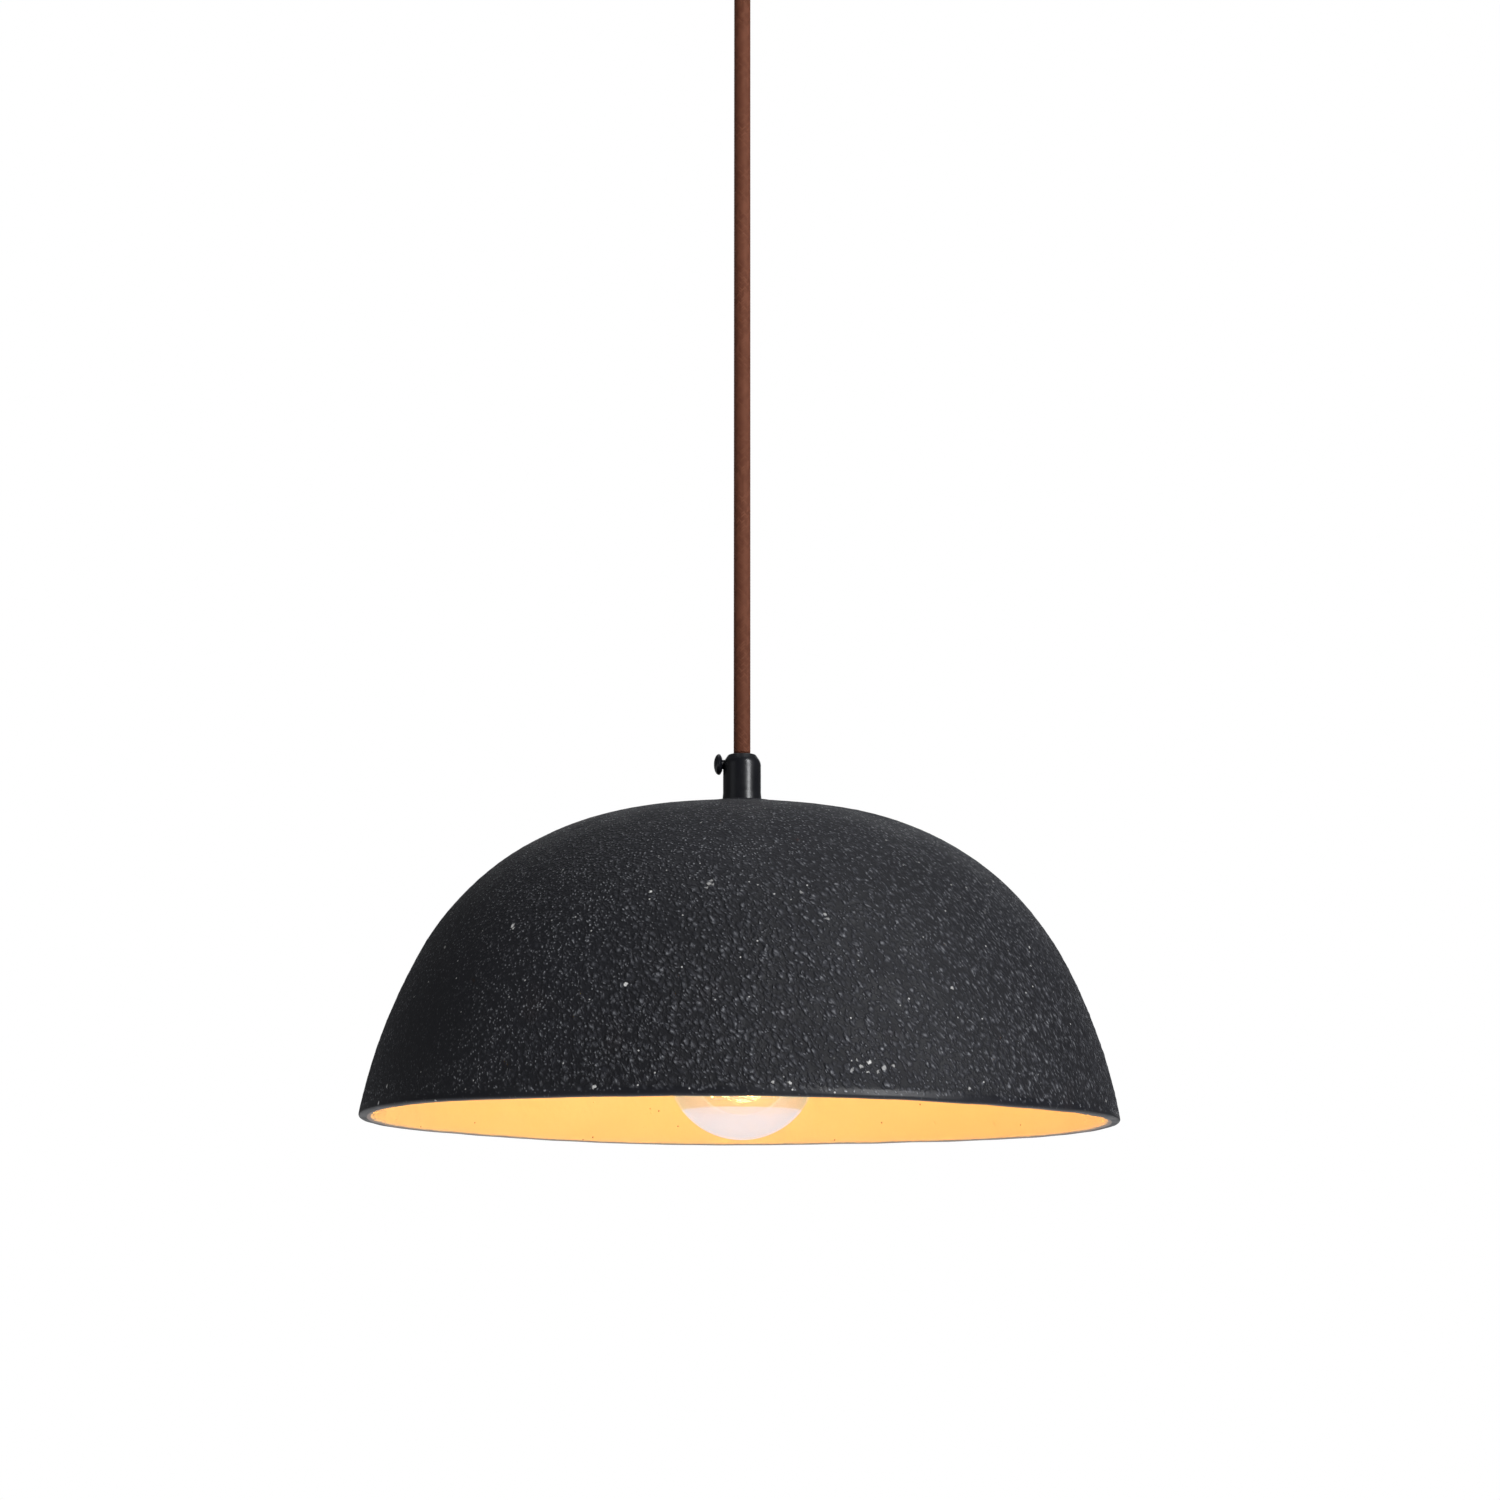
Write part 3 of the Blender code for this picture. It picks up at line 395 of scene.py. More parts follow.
def metal_finish(name, tone, dull, roughness):
    """Plated or drawn metal: tarnish in patches, and fine lines left by the tool."""
    made = Finish(name, metallic=1.0)
    patches = made.step(made.cloud(190, 5, 0.65), 0.42, 0.68)
    spots = made.step(made.cells(700), 0.14, 0.06)
    lines = made.cloud(1500, 3, 0.6, made.stretched(z=0.12))
    wear = made.step(lines, 0.3, 0.7, roughness - 0.06, roughness + 0.1)
    made.set(Base_Color=made.mix(spots * 0.5, made.mix(patches, tone, dull), scaled(dull, 0.45)),
             Roughness=patches * 0.12 + wear)
    made.relief(lines, 0.00003)
    return made.material


def plain_finish(name, low, high, roughness, grain=900, **sockets):
    """Moulded plastic, rubber or porcelain: two close tones, a fine grain, and small moulded-in specks."""
    made = Finish(name, **sockets)
    specks = made.spots(650, (0.12, 0.06), (0.88, 0.92))
    made.set(Base_Color=made.mix(specks * 0.4, made.mix(made.cloud(150, 4), low, high), scaled(low, 0.5)),
             Roughness=made.step(made.cloud(300, 3), 0.3, 0.7, roughness - 0.06, roughness + 0.08))
    made.relief(made.cloud(grain, 3), 0.00003)
    return made.material


def core_finish(name, tone, stripe=None):
    """Glossy PVC insulation, with a second colour in long stripes on an earth core."""
    made = Finish(name, 0.35, Coat_Weight=0.2)
    base = made.mix(made.cloud(400, 3), scaled(tone, 0.85), tone)
    if stripe:
        bands = made.maths("SINE", made.axis("X") * 2600.0)
        base = made.mix(made.step(bands, -0.1, 0.1), base, stripe)
    made.set(Base_Color=base, Roughness=made.step(made.cloud(500, 2), 0.3, 0.7, 0.3, 0.42))
    made.relief(made.cloud(1200, 2), 0.00002)
    return made.material


def glass_finish():
    """Thin clear glass that lets light straight through, with painted light on it: a warm painted glow where
    the filaments show, a pale painted reflection below, and painted highlights at its edges.
    """
    made = Finish("bulb_glass")
    height = made.axis("Z") - RIM + made.cloud(60, 2) * 0.0006
    # painted reflection: the globe glows pale below a line near the rim's height
    painted_reflection = made.step(height, REFLECTION_TOP + 0.0006, REFLECTION_TOP)
    # painted glow: a little warm light given off all over the glass
    painted_glow = made.step(made.cloud(90, 4), 0.35, 0.75, 0.1, 0.16)
    painted_light_colour = made.mix(painted_reflection, (1.0, 0.8, 0.42), (0.98, 0.9, 0.94))
    clear = made.node("BsdfTransparent", Color=(0.985, 0.98, 0.965))
    gloss = made.node("BsdfAnisotropic", Roughness=0.04, Color=(1.0, 1.0, 1.0))
    glow = made.node("Emission", Color=painted_light_colour, Strength=1.0)
    facing = made.node("LayerWeight", "Facing", Blend=0.5)
    # painted highlights where the globe is seen edge-on
    share = painted_glow + painted_reflection * 0.22 + made.step(facing, 0.72, 0.97, 0.0, 0.55)
    body = made.blend(made.maths("MINIMUM", share, 1.0), clear, glow)
    made.surface(made.blend(made.node("Fresnel", IOR=1.45) * 0.45, body, gloss))
    return made.material


def stem_finish():
    """The stem's lead glass, clear and a little smoky."""
    made = Finish("stem_glass")
    smoke = made.step(made.cloud(300, 4), 0.3, 0.7, 0.1, 0.22)
    clear = made.node("BsdfTransparent", Color=(0.96, 0.95, 0.92))
    haze = made.node("BsdfDiffuse", Color=(0.8, 0.74, 0.62))
    gloss = made.node("BsdfAnisotropic", Roughness=0.06)
    edge = made.node("Fresnel", IOR=1.5)
    made.surface(made.blend(edge, made.blend(smoke, clear, haze), gloss))
    return made.material


def phosphor_finish():
    """A glowing filament: a bright warm coat that is a little uneven along its length."""
    made = Finish("filament_phosphor", 0.6, Emission_Strength=9.0)
    made.set(Base_Color=made.mix(made.cloud(900, 3), (1.0, 0.62, 0.22), (1.0, 0.78, 0.4)),
             Emission_Color=made.mix(made.cloud(700, 2), (1.0, 0.5, 0.13), (1.0, 0.66, 0.25)))
    made.relief(made.cloud(2500, 2), 0.00003)
    return made.material


PLATED = {  # bright tone, dull tone, roughness
    "zinc_steel": ((0.6, 0.6, 0.58), (0.42, 0.42, 0.41), 0.34),
    "brass": ((0.78, 0.57, 0.27), (0.55, 0.38, 0.18), 0.28),
    "nickel_plate": ((0.74, 0.72, 0.68), (0.6, 0.57, 0.53), 0.22),
    "filament_wire": ((0.64, 0.61, 0.58), (0.48, 0.45, 0.42), 0.32),
}
CORES = {
    "core_brown": [(0.17, 0.065, 0.028)],
    "core_blue": [(0.028, 0.13, 0.46)],
    "core_green_yellow": [(0.75, 0.62, 0.04), (0.04, 0.3, 0.07)],
}
MOULDED = {  # two tones, roughness, and the grain's scale
    "black_rubber": ((0.016, 0.016, 0.016), (0.026, 0.025, 0.024), 0.8),
    "holder_black": ((0.015, 0.015, 0.016), (0.026, 0.026, 0.027), 0.36, 1400),
    "black_glass": ((0.008, 0.008, 0.01), (0.016, 0.016, 0.018), 0.14),
}
FINISH = {
    "shade_black": shade_finish(),
    "brown_braid": braid_finish(),
    "satin_black_paint": paint_finish("satin_black_paint", (0.0062, 0.0066, 0.0096), 0.3),
    "white_nylon": plain_finish("white_nylon", (0.74, 0.73, 0.68), (0.82, 0.81, 0.77), 0.48,
                                Subsurface_Weight=0.05),
    "porcelain": plain_finish("porcelain", (0.82, 0.8, 0.75), (0.9, 0.88, 0.84), 0.24,
                              Coat_Weight=0.4, Coat_Roughness=0.1),
    "filament_phosphor": phosphor_finish(),
    "bulb_glass": glass_finish(),
    "stem_glass": stem_finish(),
}
for make, table in ((metal_finish, PLATED), (core_finish, CORES), (plain_finish, MOULDED)):
    FINISH.update({name: make(name, *values) for name, values in table.items()})


# ---- mesh helpers


def added(name, data):
    """A new object in the scene."""
    obj = bpy.data.objects.new(name, data)
    bpy.context.scene.collection.objects.link(obj)
    return obj


def piece(name, mesh, finish, body, *nodes, slot=None, sharp=38):
    """A piece that rides on body and stands for the CAD nodes. Its edges show from sharp degrees."""
    mesh.shade_smooth()
    if sharp:
        mesh.set_sharp_from_angle(angle=radians(sharp))
    mesh.materials.clear()
    mesh.materials.append(FINISH[finish])
    obj = added(name, mesh)
    if body:
        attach(obj, body)
    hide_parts(*nodes)
    return obj


def mesh_of(name, points, faces):
    made = bpy.data.meshes.new(name)
    made.from_pydata(points, [], faces)
    made.update()
    return made


def mesh_from(name, bm):
    bmesh.ops.recalc_face_normals(bm, faces=bm.faces)
    made = bpy.data.meshes.new(name)
    bm.to_mesh(made)
    bm.free()
    return made


def rounded(corners, steps=4):
    """A closed profile through corners, each (radius, z) or (radius, z, fillet), with its fillets drawn."""
    points = []
    for k, (r, z, *fillet) in enumerate(corners):
        here = Vector((r, z))
        if not fillet:
            points.append((r, z))
            continue
        back = Vector(corners[k - 1][:2]) - here
        on = Vector(corners[(k + 1) % len(corners)][:2]) - here
        reach = fillet[0] / tan(back.angle(on) / 2)
        reach = min(reach, 0.48 * back.length, 0.48 * on.length)
        start, end = here + back.normalized() * reach, here + on.normalized() * reach
        for n in range(steps + 1):
            t = n / steps
            point = (1 - t) ** 2 * start + 2 * t * (1 - t) * here + t ** 2 * end
            points.append((point.x, point.y))
    return points


def lathe(name, profile, sides=64, base=0.0, warp=None):
    """A mesh turned about Z from a closed loop of (radius, z). warp(angle, radius, z) gives each radius."""
    bm = bmesh.new()
    rings = []
    for r, z in profile:
        if r == 0:
            rings.append([bm.verts.new((0, 0, z + base))])
            continue
        ring = []
        for n in range(sides):
            angle = TURN * n / sides
            reach = warp(angle, r, z) if warp else r
            ring.append(bm.verts.new((reach * cos(angle), reach * sin(angle), z + base)))
        rings.append(ring)
    for here, there in zip(rings, rings[1:] + rings[:1]):
        for n in range(sides):
            after = (n + 1) % sides
            loop = [here[n % len(here)], here[after % len(here)],
                    there[after % len(there)], there[n % len(there)]]
            corners = [v for k, v in enumerate(loop) if v not in loop[:k]]
            if len(corners) > 2:
                bm.faces.new(corners)
    return mesh_from(name, bm)


def moved(mesh, place, turn=None):
    """The mesh turned from its own Z axis to a direction, and then moved to place."""
    if turn is not None:
        mesh.transform(Vector(turn).to_track_quat("Z", "Y").to_matrix().to_4x4())
    mesh.transform(Matrix.Translation(place))
    return mesh


def cut_by(mesh, *cutters):
    """The mesh with each cutter mesh taken out of it."""
    target = added("target", mesh)
    helpers = [target]
    for cutter in cutters:
        helpers.append(added("tool", cutter))
        boolean = target.modifiers.new("cut", "BOOLEAN")
        boolean.object = helpers[-1]
        boolean.solver = "EXACT"
    graph = bpy.context.evaluated_depsgraph_get()
    made = bpy.data.meshes.new_from_object(target.evaluated_get(graph))
    for helper in helpers:
        bpy.data.objects.remove(helper)
    made.name = mesh.name
    return made


def block(low, high):
    bm = bmesh.new()
    bmesh.ops.create_cube(bm, size=1.0)
    low, high = Vector(low), Vector(high)
    for vert in bm.verts:
        vert.co = (low + high) / 2 + Vector(a * b for a, b in zip(vert.co, high - low))
    return mesh_from("block", bm)


def drill(radius, start, end, sides=32):
    """A cylinder from start to end."""
    start, end = Vector(start), Vector(end)
    length = (end - start).length
    rod = lathe("drill", [(0, 0), (radius, 0), (radius, length), (0, length)], sides)
    return moved(rod, start, end - start)


def v_thread(pitch, depth, wall, low=-inf, high=inf):
    """A warp that cuts a thread into the wall of that radius, from low to high."""

    def warp(angle, radius, z):
        if radius != wall or not low < z < high:
            return radius
        wave = (z / pitch - angle / TURN) % 1.0
        return radius - depth * (1 - abs(2 * wave - 1))

    return warp


def rows(radius, low, high, spacing):
    """Profile points up a straight wall, close enough together for its thread."""
    count = max(2, round((high - low) / spacing))
    return [(radius, low + (high - low) * n / count) for n in range(count + 1)]


def screw(name, body, place, facing, radius, length, headed=True):
    """A slotted steel screw along facing. place is its head's underside, or its top without a head."""
    head_radius, head_height = HEAD[radius] if headed else (0, 0)
    pitch = METRIC_PITCH[radius]
    shaft = [(0, -length), (radius * (0.8 if headed else 0.75), -length)]
    if headed:
        crown = [(head_radius * cos(a), head_height * (0.3 + 0.7 * sin(a)))
                 for a in [radians(9 * k) for k in range(9)]]
        profile = [*shaft, *rows(radius, -length + pitch / 2, -0.0004, pitch / 6), (radius, 0),
                   (head_radius - 0.0003, 0), (head_radius, 0.0003), *crown, (0, head_height)]
        reach, depth = 1.2 * head_radius, 0.36 * head_height
    else:
        profile = [*shaft, *rows(radius, -length + pitch / 2, -pitch / 2, pitch / 6),
                   (radius * 0.88, 0), (0, 0)]
        reach, depth = 1.2 * radius, 0.0007
    mesh = lathe(name, profile, 28, warp=v_thread(pitch, 0.1 * radius, radius, high=-pitch / 3))
    low = (-reach, -SCREW_SLOT / 2, head_height - depth)
    mesh = cut_by(mesh, block(low, (reach, SCREW_SLOT / 2, head_height + 0.001)))
    return piece(name, moved(mesh, place, facing), "zinc_steel", body, name, sharp=32)


def turned(name, profile, finish, body, node, sides=64, sharp=38, slot=None, **lathe_options):
    """A turned piece that stands for the CAD node."""
    mesh = lathe(name, profile, sides, **lathe_options)
    return piece(name, mesh, finish, body, node, slot=slot, sharp=sharp)


def span(node):
    """The lowest and the highest z of a CAD node."""
    low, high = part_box(node)
    return low.z, high.z


def centre_z(node):
    return sum(span(node)) / 2


def smoothstep(value, low, high):
    t = min(1.0, max(0.0, (value - low) / (high - low)))
    return t * t * (3 - 2 * t)


# ---- cord


def braid_height(u, v):
    """Height from 0 to 1 of a braid in which each strand goes over two and under two."""
    i, j = np.floor(u), np.floor(v)
    right = 0.5 + 0.5 * np.cos(TURN / 4 * (i + v - 1))
    left = 0.5 + 0.5 * np.cos(TURN / 4 * (j + u - 3))
    a = (1 - (2 * (u - i) - 1) ** 2) * (0.35 + 0.65 * right)
    b = (1 - (2 * (v - j) - 1) ** 2) * (0.35 + 0.65 * left)
    return np.maximum(a, b)


def braided(name, top, bottom, radius=CORD_RADIUS):
    """A straight braided tube with its strands in relief, closed by a shallow cone at each end."""
    sides, spacing = 84, 0.0003
    count = round((top - bottom) / spacing)
    height = np.linspace(top, bottom, count + 1)
    angle = np.arange(sides + 1) * TURN / sides
    z, theta = np.meshgrid(height, angle, indexing="ij")
    u = STRANDS * (theta / TURN + z / BRAID_PITCH)
    v = STRANDS * (theta / TURN - z / BRAID_PITCH)
    reach = radius - BRAID_HEIGHT * (1 - braid_height(u, v))
    points = np.stack([reach * np.cos(theta), reach * np.sin(theta), z], axis=-1)[:, :sides].reshape(-1, 3)
    ends = [(0, 0, top - 0.0001), (0, 0, bottom + 0.0001)]
    faces, corners = [], []
    for row in range(count):
        here, below = row * sides, (row + 1) * sides
        for n in range(sides):
            after = (n + 1) % sides
            faces.append((here + n, below + n, below + after, here + after))
            corners += [(row, n), (row + 1, n), (row + 1, n + 1), (row, n + 1)]
    last = count * sides
    for n in range(sides):
        after = (n + 1) % sides
        faces.append((len(points), n, after))
        corners += [(0, n)] * 3
        faces.append((len(points) + 1, last + after, last + n))
        corners += [(count, n)] * 3
    mesh = mesh_of(name, [tuple(p) for p in points] + ends, faces)
    corners = np.array(corners)
    for label, field in (("braid_u", u), ("braid_v", v)):
        layer = mesh.attributes.new(label, "FLOAT", "CORNER")
        layer.data.foreach_set("value", field[corners[:, 0], corners[:, 1]].astype(np.float32))
    return mesh


def stretch(name, top, bottom, body, *nodes):
    return piece(name, braided(name, top, bottom), "brown_braid", body, *nodes, sharp=0)


def make_cord():
    """The cord in three stretches: out of the gland, the free run, and the end inside the grip."""
    foot = TAIL_TOP + 0.0003
    entry = stretch("cord_top", CORD_TOP, ENTRY_END, None, "cord_entry")
    run = stretch("cord", ENTRY_END, foot, None, "cord_bend", "cord_run")
    stretch("cord_low", TAIL_TOP, TAIL_LOW, "lamp", "cord_tail")
    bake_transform(entry)
    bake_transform(run)


# ---- shade


def shade_curve(offset, spacing):
    """(radius, height) down the shade's curve, offset into the wall, about spacing apart."""
    radius, height, slope = 0.0, SHADE_HEIGHT, 0.0
    points = []
    for bend, end in SHADE_ARCS:
        end = radians(end)
        steps = max(2, round(bend * (end - slope) / spacing))
        for k in range(1 if points else 0, steps + 1):
            a = slope + (end - slope) * k / steps
            points.append((radius + bend * (sin(a) - sin(slope)) - offset * sin(a),
                           height - bend * (cos(slope) - cos(a)) - offset * cos(a)))
        radius += bend * (sin(end) - sin(slope))
        height -= bend * (cos(slope) - cos(end))
        slope = end
    return points


def coarseness(point):
    """How coarse the grain is, from 0 to about 1: fine on top, coarse low down, with smooth patches."""
    low = smoothstep(point.z, 0.112, 0.03)
    patch = 0.5 + 0.5 * noise.noise(point * 17 + Vector((3.1, 0.4, 2.0)))
    worn = exp(-((point - Vector((-0.122, -0.085, 0.034))).length / 0.08) ** 2)
    flank = smoothstep(point.x, 0.085, 0.14) * smoothstep(-point.y, 0.02, 0.08)
    rough = (0.42 + 0.58 * low) * (0.45 + 0.85 * patch) * (1 - 0.96 * worn) * (1 - 0.45 * flank)
    return min(1.0, rough + exp(-((point - CLUSTER).length / 0.011) ** 2))


def grain_height(point, rough):
    """The grain that is large enough for the mesh: low bumps about 4 mm apart on broad swells."""
    distances, centres = noise.voronoi(point * 290)
    share = noise.cell(centres[0] * 3.7) * 0.5 + 0.5
    bump = max(0.0, 1 - (distances[0] / 0.42) ** 2) * share
    swell = noise.noise(point * 14) * 0.00035 + noise.noise(point * 45) * 0.00012
    pebble = noise.noise(point * 210) * 0.00007
    return rough * (bump * 0.0003 + pebble) + swell


def skin(name, rings):
    """A closed tube of faces through rings of points, where a ring may have twice the points of the next."""
    points, starts, faces = [], [], []
    for ring in rings:
        starts.append(len(points))
        points += ring
    order = list(range(len(rings))) + [0]
    for here, there in zip(order, order[1:]):
        many, few = len(rings[here]), len(rings[there])
        a, b = starts[here], starts[there]
        if many == few:
            faces += [(a + n, a + (n + 1) % many, b + (n + 1) % few, b + n) for n in range(many)]
        elif many == 2 * few:
            faces += [(b + n, a + 2 * n, a + 2 * n + 1, a + (2 * n + 2) % many, b + (n + 1) % few)
                      for n in range(few)]
        else:
            faces += [(a + n, a + (n + 1) % many, b + (2 * n + 2) % few, b + 2 * n + 1, b + 2 * n)
                      for n in range(many)]
    return mesh_of(name, points, faces)


FAR_OUTSIDE = -99.0  # the distance from the lip, in mm, that the painted top of the hub is given


def segments_at(radius):
    return 720 if radius > 0.09 else 360 if radius > 0.04 else 180


def make_shade():
    """The cast dome: grain in relief outside, a rounded lip, and a smooth inside."""
    outer = [p for p in shade_curve(0.0, 0.0013) if p[0] > 1.18 * BOSS_RADIUS]
    inner = [p for p in shade_curve(SHADE_WALL, 0.005) if p[0] > 0.0185]
    rim_out, rim_in = outer[-1][0], inner[-1][0]
    lip = rounded([(rim_out - 0.0006, 0.003), (rim_out, 0.0, 0.002), (rim_in, 0.0, 0.0024),
                   (rim_in - 0.0007, 0.0034)], 6)[1:-1]
    top = SHADE_HEIGHT + BOSS_HEIGHT
    hub = rounded([(0.016, SEAT_HEIGHT), (0.0055, SEAT_HEIGHT), (0.0055, top, 0.0004),
                   (0.0084, top), (0.0104, top + 0.0005, 0.0006), (BOSS_RADIUS, top + 0.0003, 0.0016),
                   (1.1 * BOSS_RADIUS, top - 0.0014)], 3)
    outer = [p for p in outer if p[1] > 0.0034]
    inner = [p for p in inner if p[1] > 0.005]
    path = [(p, "out") for p in outer] + [(p, "lip") for p in lip] + [(p, "in") for p in reversed(inner)]
    path += [(p, "hub") for p in hub]

    lip_start = len(outer)
    travelled = [0.0]
    for (before, _), (after, _) in zip(path, path[1:]):
        travelled.append(travelled[-1] + dist(before, after))
    zero = travelled[lip_start]

    rings, across, coarse = [], [], []
    sides = 180
    for index, ((r, z), part) in enumerate(path):
        wanted = segments_at(r)
        if part == "in":
            wanted = 180 if index > lip_start + len(lip) + 1 else 360
        sides = min(max(wanted, sides // 2), 2 * sides)
        ahead, behind = path[(index + 1) % len(path)][0], path[index - 1][0]
        run = Vector((ahead[0] - behind[0], ahead[1] - behind[1])).normalized()
        out_r, out_z = -run.y, run.x
        if part == "out" and out_z < 0:
            out_r, out_z = -out_r, -out_z
        fade = smoothstep(z, 0.0035, 0.0075) * smoothstep(r, 0.017, 0.024)
        ring = []
        for n in range(sides):
            angle = TURN * n / sides
            east, north = cos(angle), sin(angle)
            point = Vector((r * east, r * north, z))
            rough = 0.0
            if part == "out":
                rough = coarseness(point)
                lift = grain_height(point, rough) * fade + 0.0005 * exp(-(r / 0.024) ** 2)
                point += lift * Vector((out_r * east, out_r * north, out_z))
            if part != "hub":
                wave = 0.0003 * sin(2 * angle + 0.7) + 0.00022 * sin(5 * angle + 2.1)
                wave += 0.00016 * noise.noise(Vector((east, north, 0)) * 9)
                low = smoothstep(z, 0.03, 0.0)
                point.z += wave * low - r * east * tan(SHADE_TILT) * smoothstep(r, 0.02, 0.08)
                swing = 0.00025 * sin(3 * angle + 1.2) * smoothstep(r, 0.03, 0.12)
                lean = (SHADE_HEIGHT - z) * tan(SHADE_LEAN) * smoothstep(r, 0.02, 0.08)
                point.x += swing * east - lean
                point.y += swing * north
            ring.append(tuple(point + Vector((0, 0, RIM))))
            painted = part == "hub" and z > SEAT_HEIGHT + 0.0005
            across.append(FAR_OUTSIDE if painted else (travelled[index] - zero) / MM)
            coarse.append(rough)
        rings.append(ring)
    mesh = skin("shade_shell", rings)
    bm = bmesh.new()
    bm.from_mesh(mesh)
    bmesh.ops.recalc_face_normals(bm, faces=bm.faces)
    bm.to_mesh(mesh)
    bm.free()
    for label, values in (("across", across), ("coarse", coarse)):
        layer = mesh.attributes.new(label, "FLOAT", "POINT")
        layer.data.foreach_set("value", np.array(values, np.float32))
    piece("shade_shell", mesh, "shade_black", "lamp", "shade", sharp=50)


# ---- grip and thumb screw


def make_grip():
    """The turned grip: a soft shoulder, a slight flare at its foot, and a cross hole for the thumb screw."""
    low, top = span("cord_grip")
    body, foot, floor = 0.0076, 0.008, low + 0.0085
    profile = rounded([(CORD_BORE, top, 0.0005), (0.0056, top - 0.0004, 0.001), (body, top - 0.0034, 0.0048),
                       (body, low + 0.004, 0.006), (foot, low, 0.0004), (M10_HOLE, low, 0.0003),
                       (M10_HOLE, floor), (CORD_BORE, floor)], 7)
    z = centre_z("clamp_screw")
    mesh = cut_by(lathe("grip", profile, 128), drill(M4_HOLE, (-0.001, 0, z), (-0.012, 0, z), 48))
    piece("grip", mesh, "satin_black_paint", "lamp", "cord_grip", sharp=34)


def make_thumb_screw():
    """The domed knob with a slot, a thin collar below it and its threaded shank, and the nylon pad."""
    z, seat = centre_z("clamp_screw"), -0.0079
    radius, height, collar = 0.0042, 0.0034, 0.0014
    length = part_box("clamp_screw")[1].x - seat
    dome = [(radius * cos(a), collar + (height - collar) * sin(a))
            for a in [radians(7.5 * k) for k in range(12)]]
    profile = [(0, -length), (0.0016, -length), *rows(M4, -length + 0.0003, -0.0001, 0.00012), (M4, 0.0),
               (0.0026, 0.0), (0.0039, 0.0007), (radius, 0.0011), *dome, (0, height)]
    mesh = lathe("thumb_screw", profile, 72, warp=v_thread(METRIC_PITCH[M4], 0.0002, M4, high=0.0))
    mesh = cut_by(mesh, block((-0.006, -0.00045, height - 0.0012), (0.006, 0.00045, height + 0.001)))
    mesh.transform(Matrix.Rotation(radians(90), 4, "Z"))  # the slot stands upright
    piece("thumb_screw", moved(mesh, (seat, 0, z), (-1, 0, 0)), "satin_black_paint", "clamp_screw",
          "clamp_screw", sharp=32)
    low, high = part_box("clamp_pad")
    long = high.x - low.x
    pad = lathe("grip_pad", rounded([(0, 0), (0.0016, 0, 0.0003), (0.0016, long, 0.0002), (0, long)], 3), 40)
    piece("grip_pad", moved(pad, (high.x, 0, z), (-1, 0, 0)), "white_nylon", "clamp_pad", "clamp_pad")


# ---- ceiling fitting


def make_canopy():
    """The drawn steel cup, with a rolled top edge and a soft corner, and its two side screws."""
    low, top = span("canopy")
    radius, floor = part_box("canopy")[1].x, low + 0.001
    inside = radius - 0.001
    profile = rounded([(M10_HOLE, floor), (M10_HOLE, low, 0.0002), (radius, low, 0.004),
                       (radius, top, 0.0004), (inside, top, 0.0004), (inside, floor, 0.003)], 10)
    z = centre_z("canopy_screw_left")
    holes = [drill(M4_HOLE, (side * 0.9 * radius, 0, z), (side * 1.1 * radius, 0, z)) for side in (-1, 1)]
    mesh = cut_by(lathe("canopy_cup", profile, 160), *holes)
    piece("canopy_cup", mesh, "satin_black_paint", "ceiling_fitting", "canopy", sharp=34)
    for name, side in (("canopy_screw_left", -1), ("canopy_screw_right", 1)):
        screw(name, name, (side * (radius + 0.0003), 0, z), (side, 0, 0), M4, 0.0085)


def make_gland():
    """The canopy's cord grip: barrel, threaded stud and set screw."""
    low, top = span("canopy_gland")
    barrel_top = span("canopy")[0] - 0.0003
    stud, barrel = 0.005, 0.0076
    profile = rounded([(CORD_BORE, top), (CORD_BORE, low + 0.005, 0.003), (M10_HOLE, low, 0.0003),
                       (barrel, low, 0.0014), (barrel, barrel_top, 0.0004), (stud, barrel_top)], 6)
    profile += rows(stud, barrel_top + 0.0006, top - 0.0002, 0.00018)
    mesh = lathe("gland_barrel", profile, 96, warp=v_thread(0.001, 0.0003, stud, barrel_top + 0.0007))
    z = centre_z("gland_screw")
    mesh = cut_by(mesh, drill(M4_HOLE, (-0.001, 0, z), (-0.012, 0, z), 40))
    piece("gland_barrel", mesh, "satin_black_paint", "ceiling_fitting", "canopy_gland", sharp=34)
    screw("gland_screw", "gland_screw", (-0.0074, 0, z), (-1, 0, 0), M4, 0.0036, headed=False)


def make_ring(node, finish, body):
    """A washer or gasket with softened edges."""
    low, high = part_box(node)
    edge = 0.00015
    profile = rounded([(M10_HOLE, low.z, edge), (high.x, low.z, edge), (high.x, high.z, edge),
                       (M10_HOLE, high.z, edge)], 3)
    turned(node + "_ring", profile, finish, body, node, 72)


def make_nut(node, body):
    """A hexagon nut with chamfered corners."""
    low, top = span(node)
    half, mouth, chamfer = 0.007, 0.0055, 0.0007

    def warp(angle, r, z):
        if r < half - 0.0001:
            return r
        flat = half / cos((angle + TURN / 12) % (TURN / 6) - TURN / 12)
        return min(flat, half + 0.0002 + 1.6 * min(z - low, top - z))

    levels = [low + chamfer * k / 4 for k in range(5)] + [top - chamfer * (4 - k) / 4 for k in range(5)]
    profile = [(mouth, low), *[(half, z) for z in levels], (mouth, top), (0.0051, top - 0.0004),
               (0.0051, low + 0.0004)]
    turned(node + "_hex", profile, "zinc_steel", body, node, 96, 28, warp=warp)


